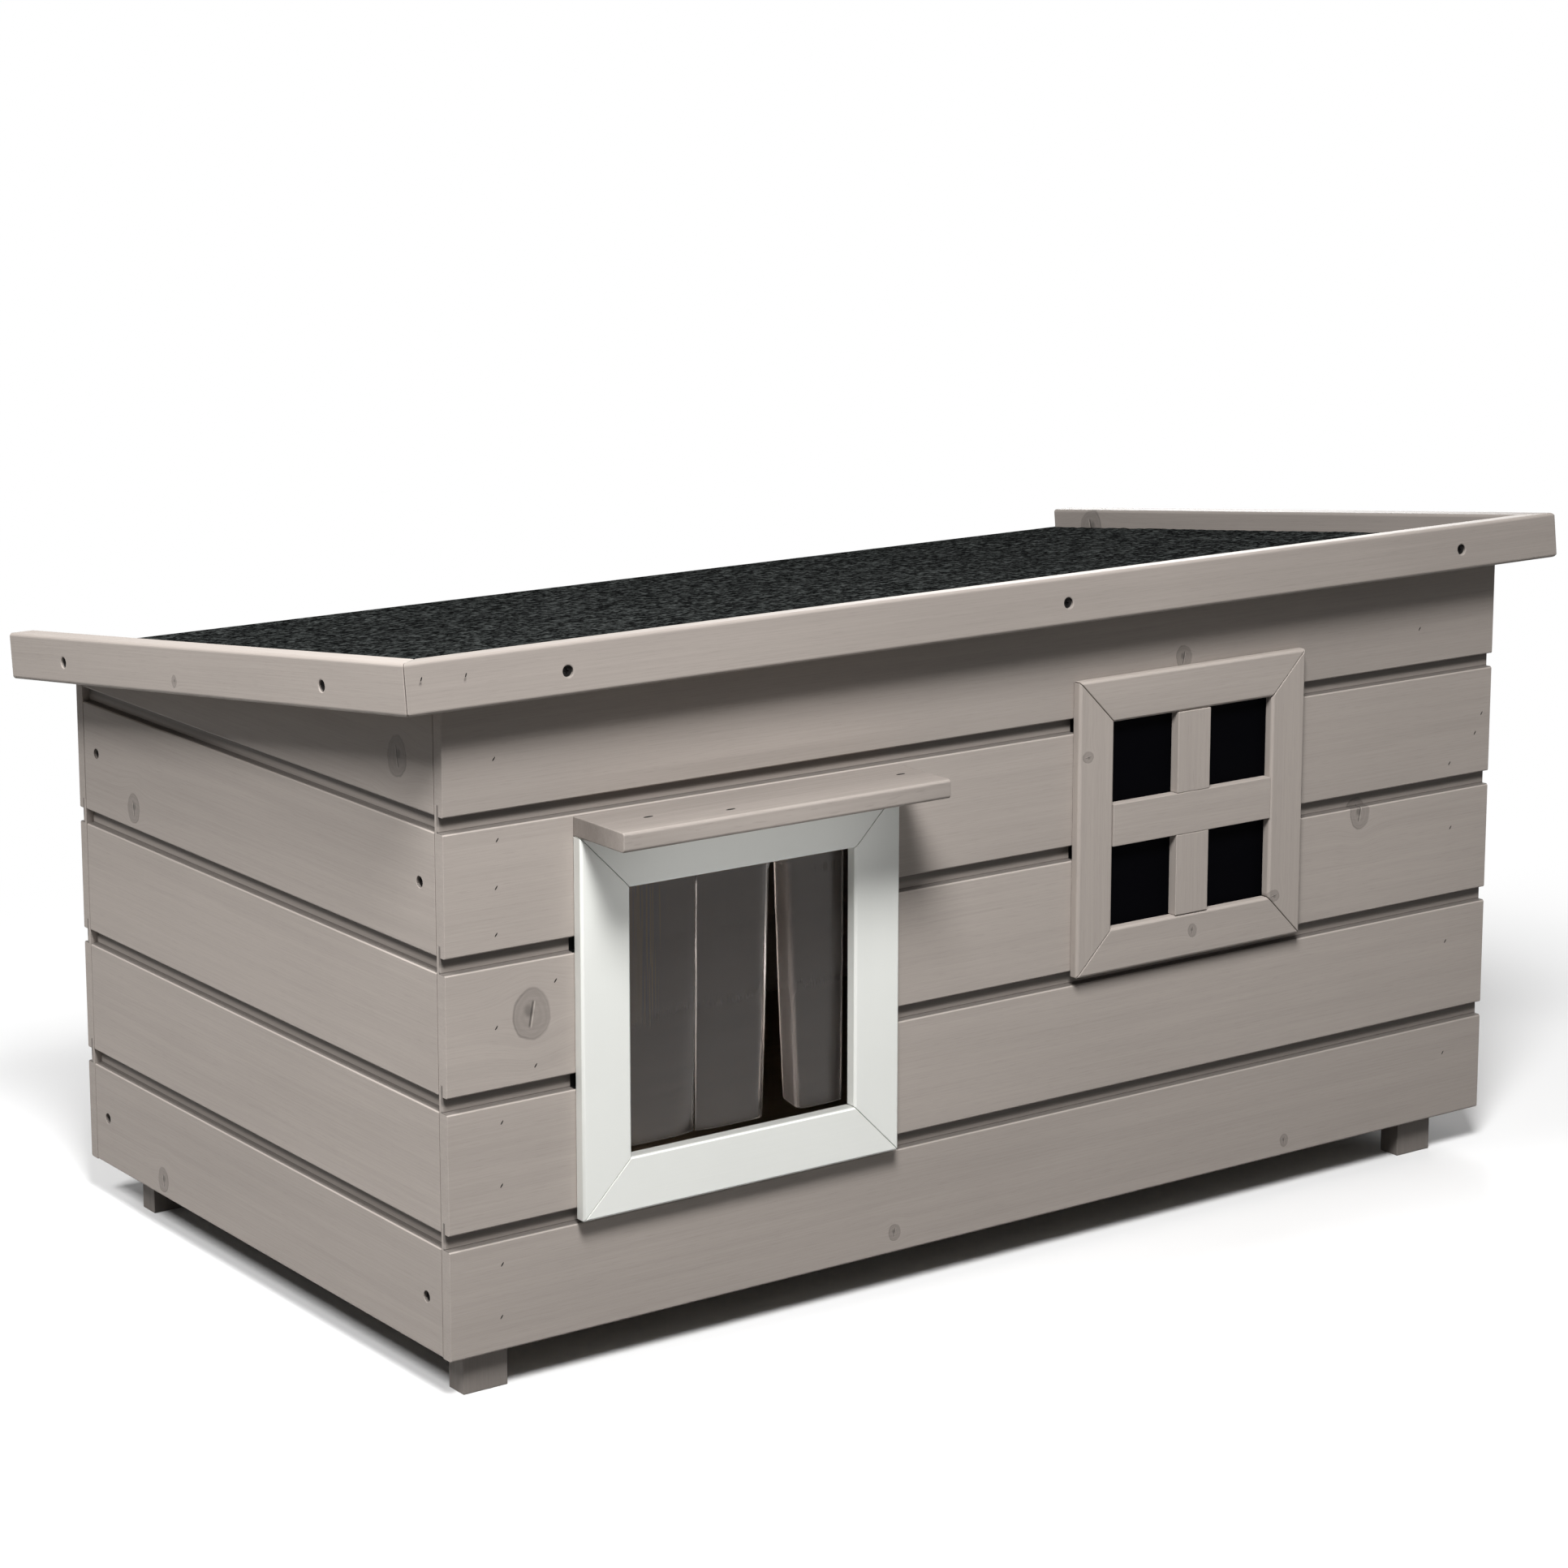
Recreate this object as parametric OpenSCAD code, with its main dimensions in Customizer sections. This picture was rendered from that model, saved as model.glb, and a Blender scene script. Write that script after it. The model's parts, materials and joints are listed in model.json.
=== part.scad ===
// Outdoor cat house of grooved boards, with a lift-up sloping roof and a strip-curtain door.
// Millimetres, +Z up. The front faces -Y. The origin is on the ground, in the middle of the outline.
// Inside the modules, y = 0 is the front wall's outer face and z = 0 is the walls' lower edge.

/* [Walls] */
// Width of the front and back walls
wall_w = 940; // [900:1:1000]
// Depth of the cabin, over the front and back walls
wall_d = 527; // [500:1:560]
// Thickness of every wall board
board_t = 10; // [9:0.5:12]
// Chamfer on the long edges that show
edge_c = 1.2; // [0.5:0.1:2]

/* [Board joints] */
// Height of the lowest joint, at the top of the narrow bottom board
first_joint = 85.6; // [80:0.1:92]
// Distance from one joint to the next
joint_pitch = 92.8; // [90:0.1:94]
// Height of the front wall's top board, from the highest joint to the roof's underside
top_board_h = 77.5; // [74:0.5:100]
// Height of the groove that shows at each joint
groove_h = 10; // [6:0.5:12]
// Depth of that groove
groove_d = 5.5; // [4:0.5:6.5]
// How far each board laps up behind the next one
lap_h = 8; // [5:0.5:10]

/* [Posts and floor] */
// Width and depth of a corner post
post_w = 34; // [30:1:40]
// Thickness of the middle posts, the bearers and the roof battens
batten_t = 18.5; // [16:0.5:22]
// Distance from the post tops to the roof's underside
post_gap = 20; // [12:1:40]
// Place of the front middle post, from the middle of the house
middle_post_x = -36; // [-60:1:-20]
// Height of a floor bearer
bearer_h = 18; // [16:0.5:24]
// Distance of the rear bearer from the back wall's inner face
rear_bearer_in = 44; // [40:1:80]
// Thickness of the floor panel
floor_t = 9; // [6:0.5:12]

/* [Feet] */
// Width of a foot
foot_w = 34; // [28:1:40]
// How far a foot reaches below the walls
foot_h = 28.7; // [20:0.1:40]
// Distance of the left feet from the left wall's outer face
foot_left_in = 15; // [12:1:60]
// Distance of the right feet from the right wall's outer face
foot_right_in = 42; // [12:1:60]

/* [Roof] */
// Slope of the roof, down towards the back, in degrees
roof_slope = 6.9; // [6:0.1:7.5]
// How far the roof stands out past each side wall
side_overhang = 40; // [30:1:60]
// How far the front fascia's face stands out past the front wall, along the slope
front_overhang = 26.3; // [22:0.1:45]
// How far the roof's back edge stands out past the back wall, along the slope
back_overhang = 22.9; // [22.4:0.1:40]
// Height of the fascia boards
fascia_h = 34; // [32:0.5:45]
// Thickness of the fascia boards
fascia_t = 21; // [18:0.5:24]
// How far the fascia boards reach below the roof deck
fascia_drop = 5.5; // [3:0.5:8]
// Thickness of the roof deck
deck_t = 12; // [11:0.5:16]
// Thickness of the roofing felt
felt_t = 1.5; // [1:0.1:2.5]
// Free gap between the closed roof and the wall tops
lid_gap = 0.3; // [0.2:0.1:1]
// Width of a roof batten
roof_batten_w = 34; // [28:1:45]
// Distance of the roof battens from the middle
roof_batten_x = 235; // [150:1:300]
// Distance from the walls' inner faces to the roof battens' ends
roof_batten_in = 20; // [15:1:60]

/* [Door] */
// Distance of the door frame from the left wall's outer face
door_x = 98; // [80:1:120]
// Height of the door frame's lower edge
door_z = 78.5; // [70:0.5:90]
// Outer width and height of the door frame
door_size = 261; // [250:1:270]
// Width of the door frame's boards
door_board_w = 38.4; // [34:0.2:44]
// Thickness of the door frame's boards
door_board_t = 9.5; // [8:0.5:12]
// How far the boards of either frame cover the edge of their hole in the wall
cut_margin = 16; // [13:0.5:18]

/* [Canopy] */
// How far the canopy reaches past the right side of the door frame
canopy_past = 4; // [0:0.5:20]
// How far the canopy stands out from the wall
canopy_d = 60.4; // [45:0.2:80]
// Thickness of the canopy board
canopy_t = 13.5; // [10:0.5:18]

/* [Strip curtain] */
// Thickness of a strip
strip_t = 2; // [1:0.2:3]
// Free gap between two strips
strip_gap = 1; // [0.6:0.1:2]
// Free gap between the outer strips and the door frame
strip_side_gap = 0.5; // [0.4:0.1:2]
// Free gap between the strips and the sill
strip_sill_gap = 2; // [1:0.5:10]
// Diameter of the rod that the strips hang on
rod_d = 4; // [3:0.2:4.6]
// Wall of the loop at the top of a strip
loop_t = 1.35; // [1:0.05:1.8]
// Height of the rod above the door frame's inner edge
rod_rise = 5.5; // [5:0.1:6.5]
// How far each end of the rod sits in the wall
rod_seat = 6; // [4:0.5:12]

/* [Window] */
// Distance of the window frame from the left wall's outer face
window_x = 520; // [500:1:640]
// Height of the window frame's lower edge
window_z = 175; // [165:1:182]
// Outer width and height of the window frame
window_size = 217; // [205:1:230]
// Width of the window frame's boards
window_board_w = 32.5; // [28:0.5:38]
// Thickness of the window frame's boards and bars
window_board_t = 8; // [6:0.5:10]
// Width of the window bars
bar_w = 31; // [20:0.5:40]
// Thickness of the dark pane
pane_t = 3; // [2:0.5:5]
// Free gap between the pane and the edge of its hole
pane_fit = 0.5; // [0.3:0.1:1]

/* [Screws] */
// Diameter of a wall or fascia screw's shank
screw_d = 3.6; // [3:0.1:4]
// Diameter of its head
screw_head_d = 7.4; // [6.5:0.1:8]
// Height of its head
screw_head_h = 2.6; // [2:0.1:3.5]
// Length of its shank, from under the head
screw_len = 26; // [20:1:32]
// Diameter of the sunk hole that it sits in
sink_d = 7.8; // [7.6:0.1:9]
// Depth of that hole above the head
sink_h = 2.5; // [1.5:0.1:3.5]
// Radial clearance of a screw in its hole
screw_fit = 0.05; // [0.03:0.01:0.1]
// Distance of the side screws from the outer face of the front or back wall
side_screw_in = 30; // [22:1:34]
// Height of the lower side screws
side_screw_low = 36.8; // [34:0.1:60]
// Height of the upper side screws
side_screw_high = 317; // [290:1:325]
// Depth of the fascia screws below the top of the roof deck
fascia_screw_down = 2.2; // [2.1:0.1:5]
// Distance of the front fascia's left screw from its left end
fascia_screw_left = 120; // [80:1:200]
// Distance of the front fascia's middle screw to the right of the middle
fascia_screw_mid = 24; // [-60:1:60]
// Distance of the front fascia's right screw from its right end
fascia_screw_right = 102; // [80:1:200]
// Distance of the side fascias' first screw from the front face
side_fascia_screw_front = 107; // [60:1:150]
// Distance of the side fascias' second screw from the back end
side_fascia_screw_back = 89; // [50:1:150]

/* [Hinges] */
// Distance of each hinge from the middle of the back wall
hinge_x = 300; // [150:1:400]
// Length of a hinge along its pin
hinge_len = 60; // [50:1:80]
// Thickness of the hinge leaves
leaf_t = 2; // [1.5:0.1:2.2]
// Height of the wall leaf below the pin
wall_leaf_h = 32; // [26:1:45]
// Reach of the roof leaf behind the pin
roof_leaf_d = 16; // [15:0.5:16.5]
// Outer radius of the hinge knuckles
knuckle_r = 4; // [3.6:0.1:4.2]
// Diameter of the hinge pin
pin_d = 4; // [3:0.1:4.4]
// Radial clearance of a pin or rod in its bore
pin_fit = 0.05; // [0.03:0.01:0.09]
// Free gap between parts of the hinge that move past each other
hinge_gap = 0.3; // [0.2:0.1:0.6]
// Diameter and height of the pin's head
pin_head_d = 6.5; // [5.5:0.1:7.5]
pin_head_h = 1.5; // [1:0.1:3]
// Diameter of the hinge screws' shank
hinge_screw_d = 3; // [2.5:0.1:3.4]
// Diameter of their heads
hinge_head_d = 5.8; // [5:0.1:6.4]
// Height of their heads
hinge_head_h = 1.5; // [1:0.1:1.5]
// Length of their shanks, from under the head
hinge_screw_len = 7.5; // [5:0.5:8]
// Distance of the hinge screws from the middle of the hinge
hinge_screw_x = 20; // [14:1:22]
// Distance of the wall leaf's screws below the pin
wall_leaf_screw_down = 20; // [12:0.5:22]
// Distance of the roof leaf's screws behind the pin
roof_leaf_screw_back = 10; // [8:0.5:11]

/* [Hidden] */
$fn = 48;
// How far a cutting shape runs past the face that it cuts
eps = 0.01;
past = 1;
// Size of the block that cuts the side boards to the slope
slope_block = 2 * wall_d;
// Length, width and depth of a screw's cross recess, as shares of its head
recess_len = 0.5;
recess_w = 0.14;
recess_h = 0.5;
// The strips have one sub-part each
strip_count = 3;

wood = "#9c938c";
inner_wood = "#b39c7d";
white_paint = "#dddfd9";
felt_black = "#2b2d2c";
clear_sheet = [0.62, 0.6, 0.58, 0.5];
dark_sheet = "#0c0c0c";
steel = "#b4b7ba";
black_steel = "#1c1b1b";

// Heights of the joints, from the lowest to the highest
joints = [for (i = [0:3]) first_joint + i * joint_pitch];
// Height of the roof's underside above the walls' lower edge, at the front
front_h = joints[3] + top_board_h;
half_w = wall_w / 2;
inner_w = wall_w - 2 * board_t;
back_inner = wall_d - board_t;
floor_z = bearer_h + floor_t;

// The roof's own directions: s runs down the slope, k stands square to it
lid_x = half_w + side_overhang;
lid_front = -front_overhang;
lid_back = wall_d / cos(roof_slope) + back_overhang;
roof_len = lid_back - lid_front;
fascia_low = lid_gap - fascia_drop;
fascia_top = fascia_low + fascia_h;
deck_top = lid_gap + deck_t;
function slope_y(s, k) = s * cos(roof_slope) + k * sin(roof_slope);
function slope_z(s, k) = front_h - s * sin(roof_slope) + k * cos(roof_slope);
function under_roof(y) = front_h - y * tan(roof_slope);

// The hinge pins lie behind the back wall and just under the deck
pin_y = wall_d + knuckle_r + hinge_gap;
pin_k = lid_gap - knuckle_r - hinge_gap;
pin_s = (pin_y - pin_k * sin(roof_slope)) / cos(roof_slope);
pin_z = slope_z(pin_s, pin_k);
knuckle_len = hinge_len / 3;

door_open = door_size - 2 * door_board_w;
door_mid_x = door_x + door_size / 2 - half_w;
door_mid_z = door_z + door_size / 2;
window_open = window_size - 2 * window_board_w;
window_mid_x = window_x + window_size / 2 - half_w;
window_mid_z = window_z + window_size / 2;
rod_z = door_mid_z + door_open / 2 + rod_rise;
strip_w = (door_open - 2 * strip_side_gap - (strip_count - 1) * strip_gap) / strip_count;
loop_r = rod_d / 2 + pin_fit + loop_t;

// The middle of the whole outline, from the canopy's edge to the roof's upper back corner
middle_y = (slope_y(lid_back, fascia_top) - canopy_d) / 2;

// Sets a piece down in the part's own frame
module in_place() {
    translate([0, -middle_y, foot_h]) children();
}

// Sets a piece drawn along the slope on top of the walls
module on_slope() {
    in_place() translate([0, 0, front_h]) rotate([-roof_slope, 0, 0]) children();
}

// Draws a shape at both ends of the house, mirrored
module both_sides() {
    children();
    mirror([1, 0, 0]) children();
}

// Runs a flat outline of depth and height along +X
module run_x(len) {
    rotate([90, 0, 90]) linear_extrude(len) children();
}

// A wall board's section: depth from the outer face, then height
module board_section(low, high, first, last) {
    upper = last ? [[0, high], [board_t, high]]
        : [[0, high - groove_h - edge_c], [edge_c, high - groove_h],
           [groove_d, high - groove_h], [groove_d, high + lap_h], [board_t, high + lap_h]];
    lower = first ? [[board_t, low]]
        : [[board_t, low + lap_h], [groove_d, low + lap_h], [groove_d, low]];
    polygon(concat([[edge_c, low], [0, low + edge_c]], upper, lower));
}

// Board number i of a wall whose last board is number count and reaches up to top
module wall_board(len, i, count, top) {
    low = i == 1 ? 0 : joints[i - 2];
    high = i == count ? top : joints[i - 1];
    run_x(len) board_section(low, high, i == 1, i == count);
}

// A screw with its head's face at z = 0, pointing along +Z
module screw(shank_d, head_d, head_h, len) {
    difference() {
        union() {
            cylinder(h = head_h, d1 = head_d, d2 = shank_d);
            cylinder(h = head_h + len, d = shank_d);
        }
        for (turn = [0, 90]) rotate([0, 0, turn]) {
            cube([head_d * recess_len, head_d * recess_w, 2 * head_h * recess_h], center = true);
        }
    }
}

// The hole that the screw needs
module screw_hole(shank_d, head_d, head_h, len) {
    cylinder(h = head_h, d1 = head_d + 2 * screw_fit, d2 = shank_d + 2 * screw_fit);
    cylinder(h = head_h + len + past, d = shank_d + 2 * screw_fit);
}

module wood_screw() {
    translate([0, 0, sink_h]) screw(screw_d, screw_head_d, screw_head_h, screw_len);
}

module wood_screw_hole() {
    translate([0, 0, -past]) cylinder(h = past + sink_h + eps, d = sink_d);
    translate([0, 0, sink_h]) screw_hole(screw_d, screw_head_d, screw_head_h, screw_len);
}

module hinge_screw() {
    screw(hinge_screw_d, hinge_head_d, hinge_head_h, hinge_screw_len);
}

module hinge_screw_hole() {
    translate([0, 0, -past]) cylinder(h = past + eps, d = hinge_head_d + 2 * screw_fit);
    screw_hole(hinge_screw_d, hinge_head_d, hinge_head_h, hinge_screw_len);
}

// Places of the screws through the left wall, two at each end
module at_side_screws() {
    for (y = [side_screw_in, wall_d - side_screw_in], z = [side_screw_low, side_screw_high]) {
        translate([-half_w, y, z]) rotate([0, 90, 0]) children();
    }
}

// Places of the screws through the fascias, in the roof's directions
module at_fascia_screws() {
    k = deck_top - fascia_screw_down;
    for (x = [-lid_x + fascia_screw_left, fascia_screw_mid, lid_x - fascia_screw_right]) {
        translate([x, lid_front, k]) rotate([-90, 0, 0]) children();
    }
    both_sides() for (s = [lid_front + side_fascia_screw_front, lid_back - side_fascia_screw_back]) {
        translate([-lid_x, s, k]) rotate([0, 90, 0]) children();
    }
}

// The holes in the front wall behind the two frames, and the seats of the strip rod
module door_cut() {
    side = door_open + 2 * cut_margin;
    translate([door_mid_x - side / 2, -past, door_mid_z - side / 2]) {
        cube([side, board_t + 2 * past, side]);
    }
    translate([door_mid_x, board_t / 2, rod_z]) rotate([0, 90, 0]) {
        cylinder(h = side + 2 * rod_seat, d = rod_d + 2 * pin_fit, center = true);
    }
}

module window_cut() {
    side = window_open + 2 * cut_margin;
    translate([window_mid_x - side / 2, -past, window_mid_z - side / 2]) {
        cube([side, board_t + 2 * past, side]);
    }
}

module front_board(i) {
    color(wood) in_place() difference() {
        translate([-half_w, 0, 0]) wall_board(wall_w, i, 5, under_roof(board_t));
        door_cut();
        window_cut();
    }
}

// The back wall needs no fifth board: its top board reaches up to the roof
module back_board(i) {
    color(wood) in_place() difference() {
        translate([-half_w, wall_d, 0]) mirror([0, 1, 0]) {
            wall_board(wall_w, i, 4, under_roof(wall_d));
        }
        at_wall_leaf_screws() hinge_screw_hole();
    }
}

// Side boards lie between the front and back walls, and the top one is cut to the slope
module side_board(i) {
    difference() {
        translate([-half_w, back_inner, 0]) rotate([0, 0, -90]) {
            wall_board(back_inner - board_t, i, 5, front_h);
        }
        translate([0, 0, front_h]) rotate([-roof_slope, 0, 0]) {
            translate([-half_w - past, -slope_block / 4, 0]) {
                cube([board_t + 2 * past, slope_block, slope_block]);
            }
        }
        at_side_screws() wood_screw_hole();
    }
}

module left_board(i) {
    color(wood) in_place() side_board(i);
}

module right_board(i) {
    color(wood) in_place() mirror([1, 0, 0]) side_board(i);
}

// A corner post of the left wall: at the front if rear is 0, at the back if it is 1
module corner_post(rear) {
    y = rear == 0 ? board_t : back_inner - post_w;
    top = under_roof(y + post_w) - post_gap;
    difference() {
        translate([-half_w + board_t, y, floor_z]) cube([post_w, post_w, top - floor_z]);
        at_side_screws() wood_screw_hole();
    }
}

module left_post(rear) {
    color(inner_wood) in_place() corner_post(rear);
}

module right_post(rear) {
    color(inner_wood) in_place() mirror([1, 0, 0]) corner_post(rear);
}

module middle_post(x, y) {
    top = under_roof(y + batten_t) - post_gap;
    color(inner_wood) in_place() translate([x - post_w / 2, y, floor_z]) {
        cube([post_w, batten_t, top - floor_z]);
    }
}

module floor_panel() {
    color(inner_wood) in_place() translate([-inner_w / 2, board_t, bearer_h]) {
        cube([inner_w, back_inner - board_t, floor_t]);
    }
}

// Front edge of each bearer and of the feet under it
front_bearer_y = board_t;
rear_bearer_y = back_inner - rear_bearer_in - batten_t;

module floor_bearer(y) {
    color(inner_wood) in_place() translate([-inner_w / 2, y, 0]) cube([inner_w, batten_t, bearer_h]);
}

// A foot whose left side is at x
module foot(x, y) {
    color(wood) in_place() translate([x, y, -foot_h]) cube([foot_w, batten_t, foot_h]);
}

left_foot_x = -half_w + foot_left_in;
right_foot_x = half_w - foot_right_in - foot_w;

module side_screws() {
    color(black_steel) in_place() both_sides() at_side_screws() wood_screw();
}

// One mitred board of a square frame, turned round the frame's middle: 0 bottom, 90 left
module frame_board(mid_x, mid_z, size, w, t, turn) {
    in_place() translate([mid_x, 0, mid_z]) rotate([0, turn, 0]) intersection() {
        rotate([90, 0, 0]) linear_extrude(t) polygon([[-size / 2, -size / 2], [size / 2, -size / 2],
            [size / 2 - w, w - size / 2], [w - size / 2, w - size / 2]]);
        translate([-size / 2, 0, -size / 2]) run_x(size) {
            polygon([[0, 0], [edge_c - t, 0], [-t, edge_c], [-t, w - edge_c], [edge_c - t, w], [0, w]]);
        }
    }
}

module door_frame(turn) {
    color(white_paint) frame_board(door_mid_x, door_mid_z, door_size, door_board_w, door_board_t, turn);
}

module window_frame(turn) {
    color(wood) {
        frame_board(window_mid_x, window_mid_z, window_size, window_board_w, window_board_t, turn);
    }
}

// Two bars cross in the middle of the window, flush with its frame
module window_bars() {
    color(wood) in_place() translate([window_mid_x, -window_board_t / 2, window_mid_z]) {
        cube([window_open, window_board_t, bar_w], center = true);
        cube([bar_w, window_board_t, window_open], center = true);
    }
}

module window_pane() {
    side = window_open + 2 * cut_margin - 2 * pane_fit;
    color(dark_sheet) in_place() {
        translate([window_mid_x - side / 2, 0, window_mid_z - side / 2]) cube([side, pane_t, side]);
    }
}

// The canopy sits on the door frame, flush with its left side
module canopy() {
    c = edge_c;
    color(wood) in_place() translate([door_x - half_w, 0, door_z + door_size]) run_x(door_size + canopy_past) {
        polygon([[0, 0], [c - canopy_d, 0], [-canopy_d, c], [-canopy_d, canopy_t - c],
            [c - canopy_d, canopy_t], [0, canopy_t]]);
    }
}

module strip_rod() {
    side = door_open + 2 * cut_margin;
    color(steel) in_place() translate([door_mid_x, board_t / 2, rod_z]) rotate([0, 90, 0]) {
        cylinder(h = side + 2 * rod_seat - 2 * pin_fit, d = rod_d, center = true);
    }
}

// Strip number i, counted from the left, with the loop that hangs on the rod
module strip(i) {
    x = door_mid_x - door_open / 2 + strip_side_gap + (i - 1) * (strip_w + strip_gap);
    drop = rod_z - (door_mid_z - door_open / 2) - strip_sill_gap;
    color(clear_sheet) in_place() translate([x, board_t / 2, rod_z]) difference() {
        union() {
            rotate([0, 90, 0]) cylinder(h = strip_w, r = loop_r);
            translate([0, -strip_t / 2, -drop]) cube([strip_w, strip_t, drop]);
        }
        translate([-past, 0, 0]) rotate([0, 90, 0]) {
            cylinder(h = strip_w + 2 * past, d = rod_d + 2 * pin_fit);
        }
    }
}

// Two hinges, one at each side of the middle
module at_hinges() {
    for (x = [-hinge_x, hinge_x]) translate([x, 0, 0]) children();
}

// Places of the screws through the wall leaves and through the roof leaves
module at_wall_leaf_screws() {
    at_hinges() for (x = [-hinge_screw_x, hinge_screw_x]) {
        translate([x, wall_d + leaf_t, pin_z - wall_leaf_screw_down]) rotate([90, 0, 0]) children();
    }
}

module at_roof_leaf_screws() {
    at_hinges() for (x = [-hinge_screw_x, hinge_screw_x]) {
        translate([x, pin_s + roof_leaf_screw_back, lid_gap - leaf_t]) children();
    }
}

// A round bar along X from x0 to x1, at a depth and a height
module bar(x0, x1, y, z, r) {
    translate([x0, y, z]) rotate([0, 90, 0]) cylinder(h = x1 - x0, r = r);
}

module hinge_wall_leaves() {
    half = hinge_len / 2;
    mid = knuckle_len / 2;
    color(steel) in_place() difference() {
        at_hinges() difference() {
            union() {
                translate([-half, wall_d, pin_z - wall_leaf_h]) cube([hinge_len, leaf_t, wall_leaf_h]);
                bar(-half, -mid, pin_y, pin_z, knuckle_r);
                bar(mid, half, pin_y, pin_z, knuckle_r);
            }
            bar(-mid, mid, pin_y, pin_z, knuckle_r + hinge_gap);
            bar(-half - past, half + past, pin_y, pin_z, pin_d / 2 + pin_fit);
        }
        at_wall_leaf_screws() hinge_screw_hole();
    }
}

module hinge_roof_leaves() {
    half = hinge_len / 2;
    mid = knuckle_len / 2;
    color(steel) on_slope() difference() {
        at_hinges() difference() {
            union() {
                translate([-half, pin_s, lid_gap - leaf_t]) cube([hinge_len, roof_leaf_d, leaf_t]);
                bar(hinge_gap - mid, mid - hinge_gap, pin_s, pin_k, knuckle_r);
            }
            bar(-half - past, hinge_gap - mid, pin_s, pin_k, knuckle_r + hinge_gap);
            bar(mid - hinge_gap, half + past, pin_s, pin_k, knuckle_r + hinge_gap);
            bar(-half - past, half + past, pin_s, pin_k, pin_d / 2 + pin_fit);
        }
        at_roof_leaf_screws() hinge_screw_hole();
    }
}

module hinge_pins() {
    half = hinge_len / 2;
    color(steel) in_place() at_hinges() {
        bar(-half, half, pin_y, pin_z, pin_d / 2);
        bar(-half - pin_head_h, -half, pin_y, pin_z, pin_head_d / 2);
    }
}

module hinge_wall_screws() {
    color(steel) in_place() at_wall_leaf_screws() hinge_screw();
}

module hinge_roof_screws() {
    color(steel) on_slope() at_roof_leaf_screws() hinge_screw();
}

module roof_deck() {
    color(inner_wood) on_slope() difference() {
        translate([fascia_t - lid_x, lid_front + fascia_t, lid_gap]) {
            cube([2 * (lid_x - fascia_t), roof_len - fascia_t, deck_t]);
        }
        at_fascia_screws() wood_screw_hole();
        at_roof_leaf_screws() hinge_screw_hole();
    }
}

// The felt covers the deck and folds down over its back edge
module roof_felt() {
    wide = 2 * (lid_x - fascia_t);
    color(felt_black) on_slope() translate([-wide / 2, lid_front + fascia_t, lid_gap]) {
        translate([0, 0, deck_t]) cube([wide, roof_len - fascia_t, felt_t]);
        translate([0, roof_len - fascia_t, 0]) cube([wide, felt_t, deck_t + felt_t]);
    }
}

// A fascia's section, from its outer face inwards and upwards
module fascia_section() {
    c = edge_c;
    polygon([[0, c], [c, 0], [fascia_t, 0], [fascia_t, fascia_h - c], [fascia_t - c, fascia_h],
        [c, fascia_h], [0, fascia_h - c]]);
}

module fascia_front() {
    color(wood) on_slope() difference() {
        translate([-lid_x, lid_front, fascia_low]) intersection() {
            run_x(2 * lid_x) fascia_section();
            linear_extrude(fascia_h) polygon([[0, 0], [2 * lid_x, 0],
                [2 * lid_x - fascia_t, fascia_t], [fascia_t, fascia_t]]);
        }
        at_fascia_screws() wood_screw_hole();
    }
}

module side_fascia() {
    difference() {
        translate([-lid_x, lid_front, fascia_low]) intersection() {
            translate([0, roof_len, 0]) rotate([0, 0, -90]) run_x(roof_len) fascia_section();
            linear_extrude(fascia_h) polygon([[0, 0], [fascia_t, fascia_t],
                [fascia_t, roof_len], [0, roof_len]]);
        }
        at_fascia_screws() wood_screw_hole();
    }
}

module fascia_left() {
    color(wood) on_slope() side_fascia();
}

module fascia_right() {
    color(wood) on_slope() mirror([1, 0, 0]) side_fascia();
}

module fascia_screws() {
    color(black_steel) on_slope() at_fascia_screws() wood_screw();
}

// Two battens keep the deck flat and lie between the front and back walls
module roof_battens() {
    front = (board_t + roof_batten_in) / cos(roof_slope);
    back = (back_inner - roof_batten_in) / cos(roof_slope);
    color(inner_wood) on_slope() both_sides() {
        translate([roof_batten_x - roof_batten_w / 2, front, lid_gap - batten_t]) {
            cube([roof_batten_w, back - front, batten_t]);
        }
    }
}

front_board(1);  // front_board_1
front_board(2);  // front_board_2
front_board(3);  // front_board_3
front_board(4);  // front_board_4
front_board(5);  // front_board_5
back_board(1);  // back_board_1
back_board(2);  // back_board_2
back_board(3);  // back_board_3
back_board(4);  // back_board_4
left_board(1);  // left_board_1
left_board(2);  // left_board_2
left_board(3);  // left_board_3
left_board(4);  // left_board_4
left_board(5);  // left_board_5
right_board(1);  // right_board_1
right_board(2);  // right_board_2
right_board(3);  // right_board_3
right_board(4);  // right_board_4
right_board(5);  // right_board_5
left_post(0);  // post_front_left
right_post(0);  // post_front_right
left_post(1);  // post_rear_left
right_post(1);  // post_rear_right
middle_post(middle_post_x, board_t);  // post_front_middle
middle_post(0, back_inner - batten_t);  // post_rear_middle
floor_panel();
floor_bearer(front_bearer_y);  // floor_bearer_front
floor_bearer(rear_bearer_y);  // floor_bearer_rear
foot(left_foot_x, front_bearer_y);  // foot_front_left
foot(right_foot_x, front_bearer_y);  // foot_front_right
foot(left_foot_x, rear_bearer_y);  // foot_rear_left
foot(right_foot_x, rear_bearer_y);  // foot_rear_right
side_screws();
door_frame(0);  // door_frame_bottom
door_frame(90);  // door_frame_left
door_frame(180);  // door_frame_top
door_frame(270);  // door_frame_right
canopy();
strip_rod();
strip(1);  // strip_1
strip(2);  // strip_2
strip(3);  // strip_3
window_frame(0);  // window_frame_bottom
window_frame(90);  // window_frame_left
window_frame(180);  // window_frame_top
window_frame(270);  // window_frame_right
window_bars();
window_pane();
roof_deck();
roof_felt();
fascia_front();
fascia_left();
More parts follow.
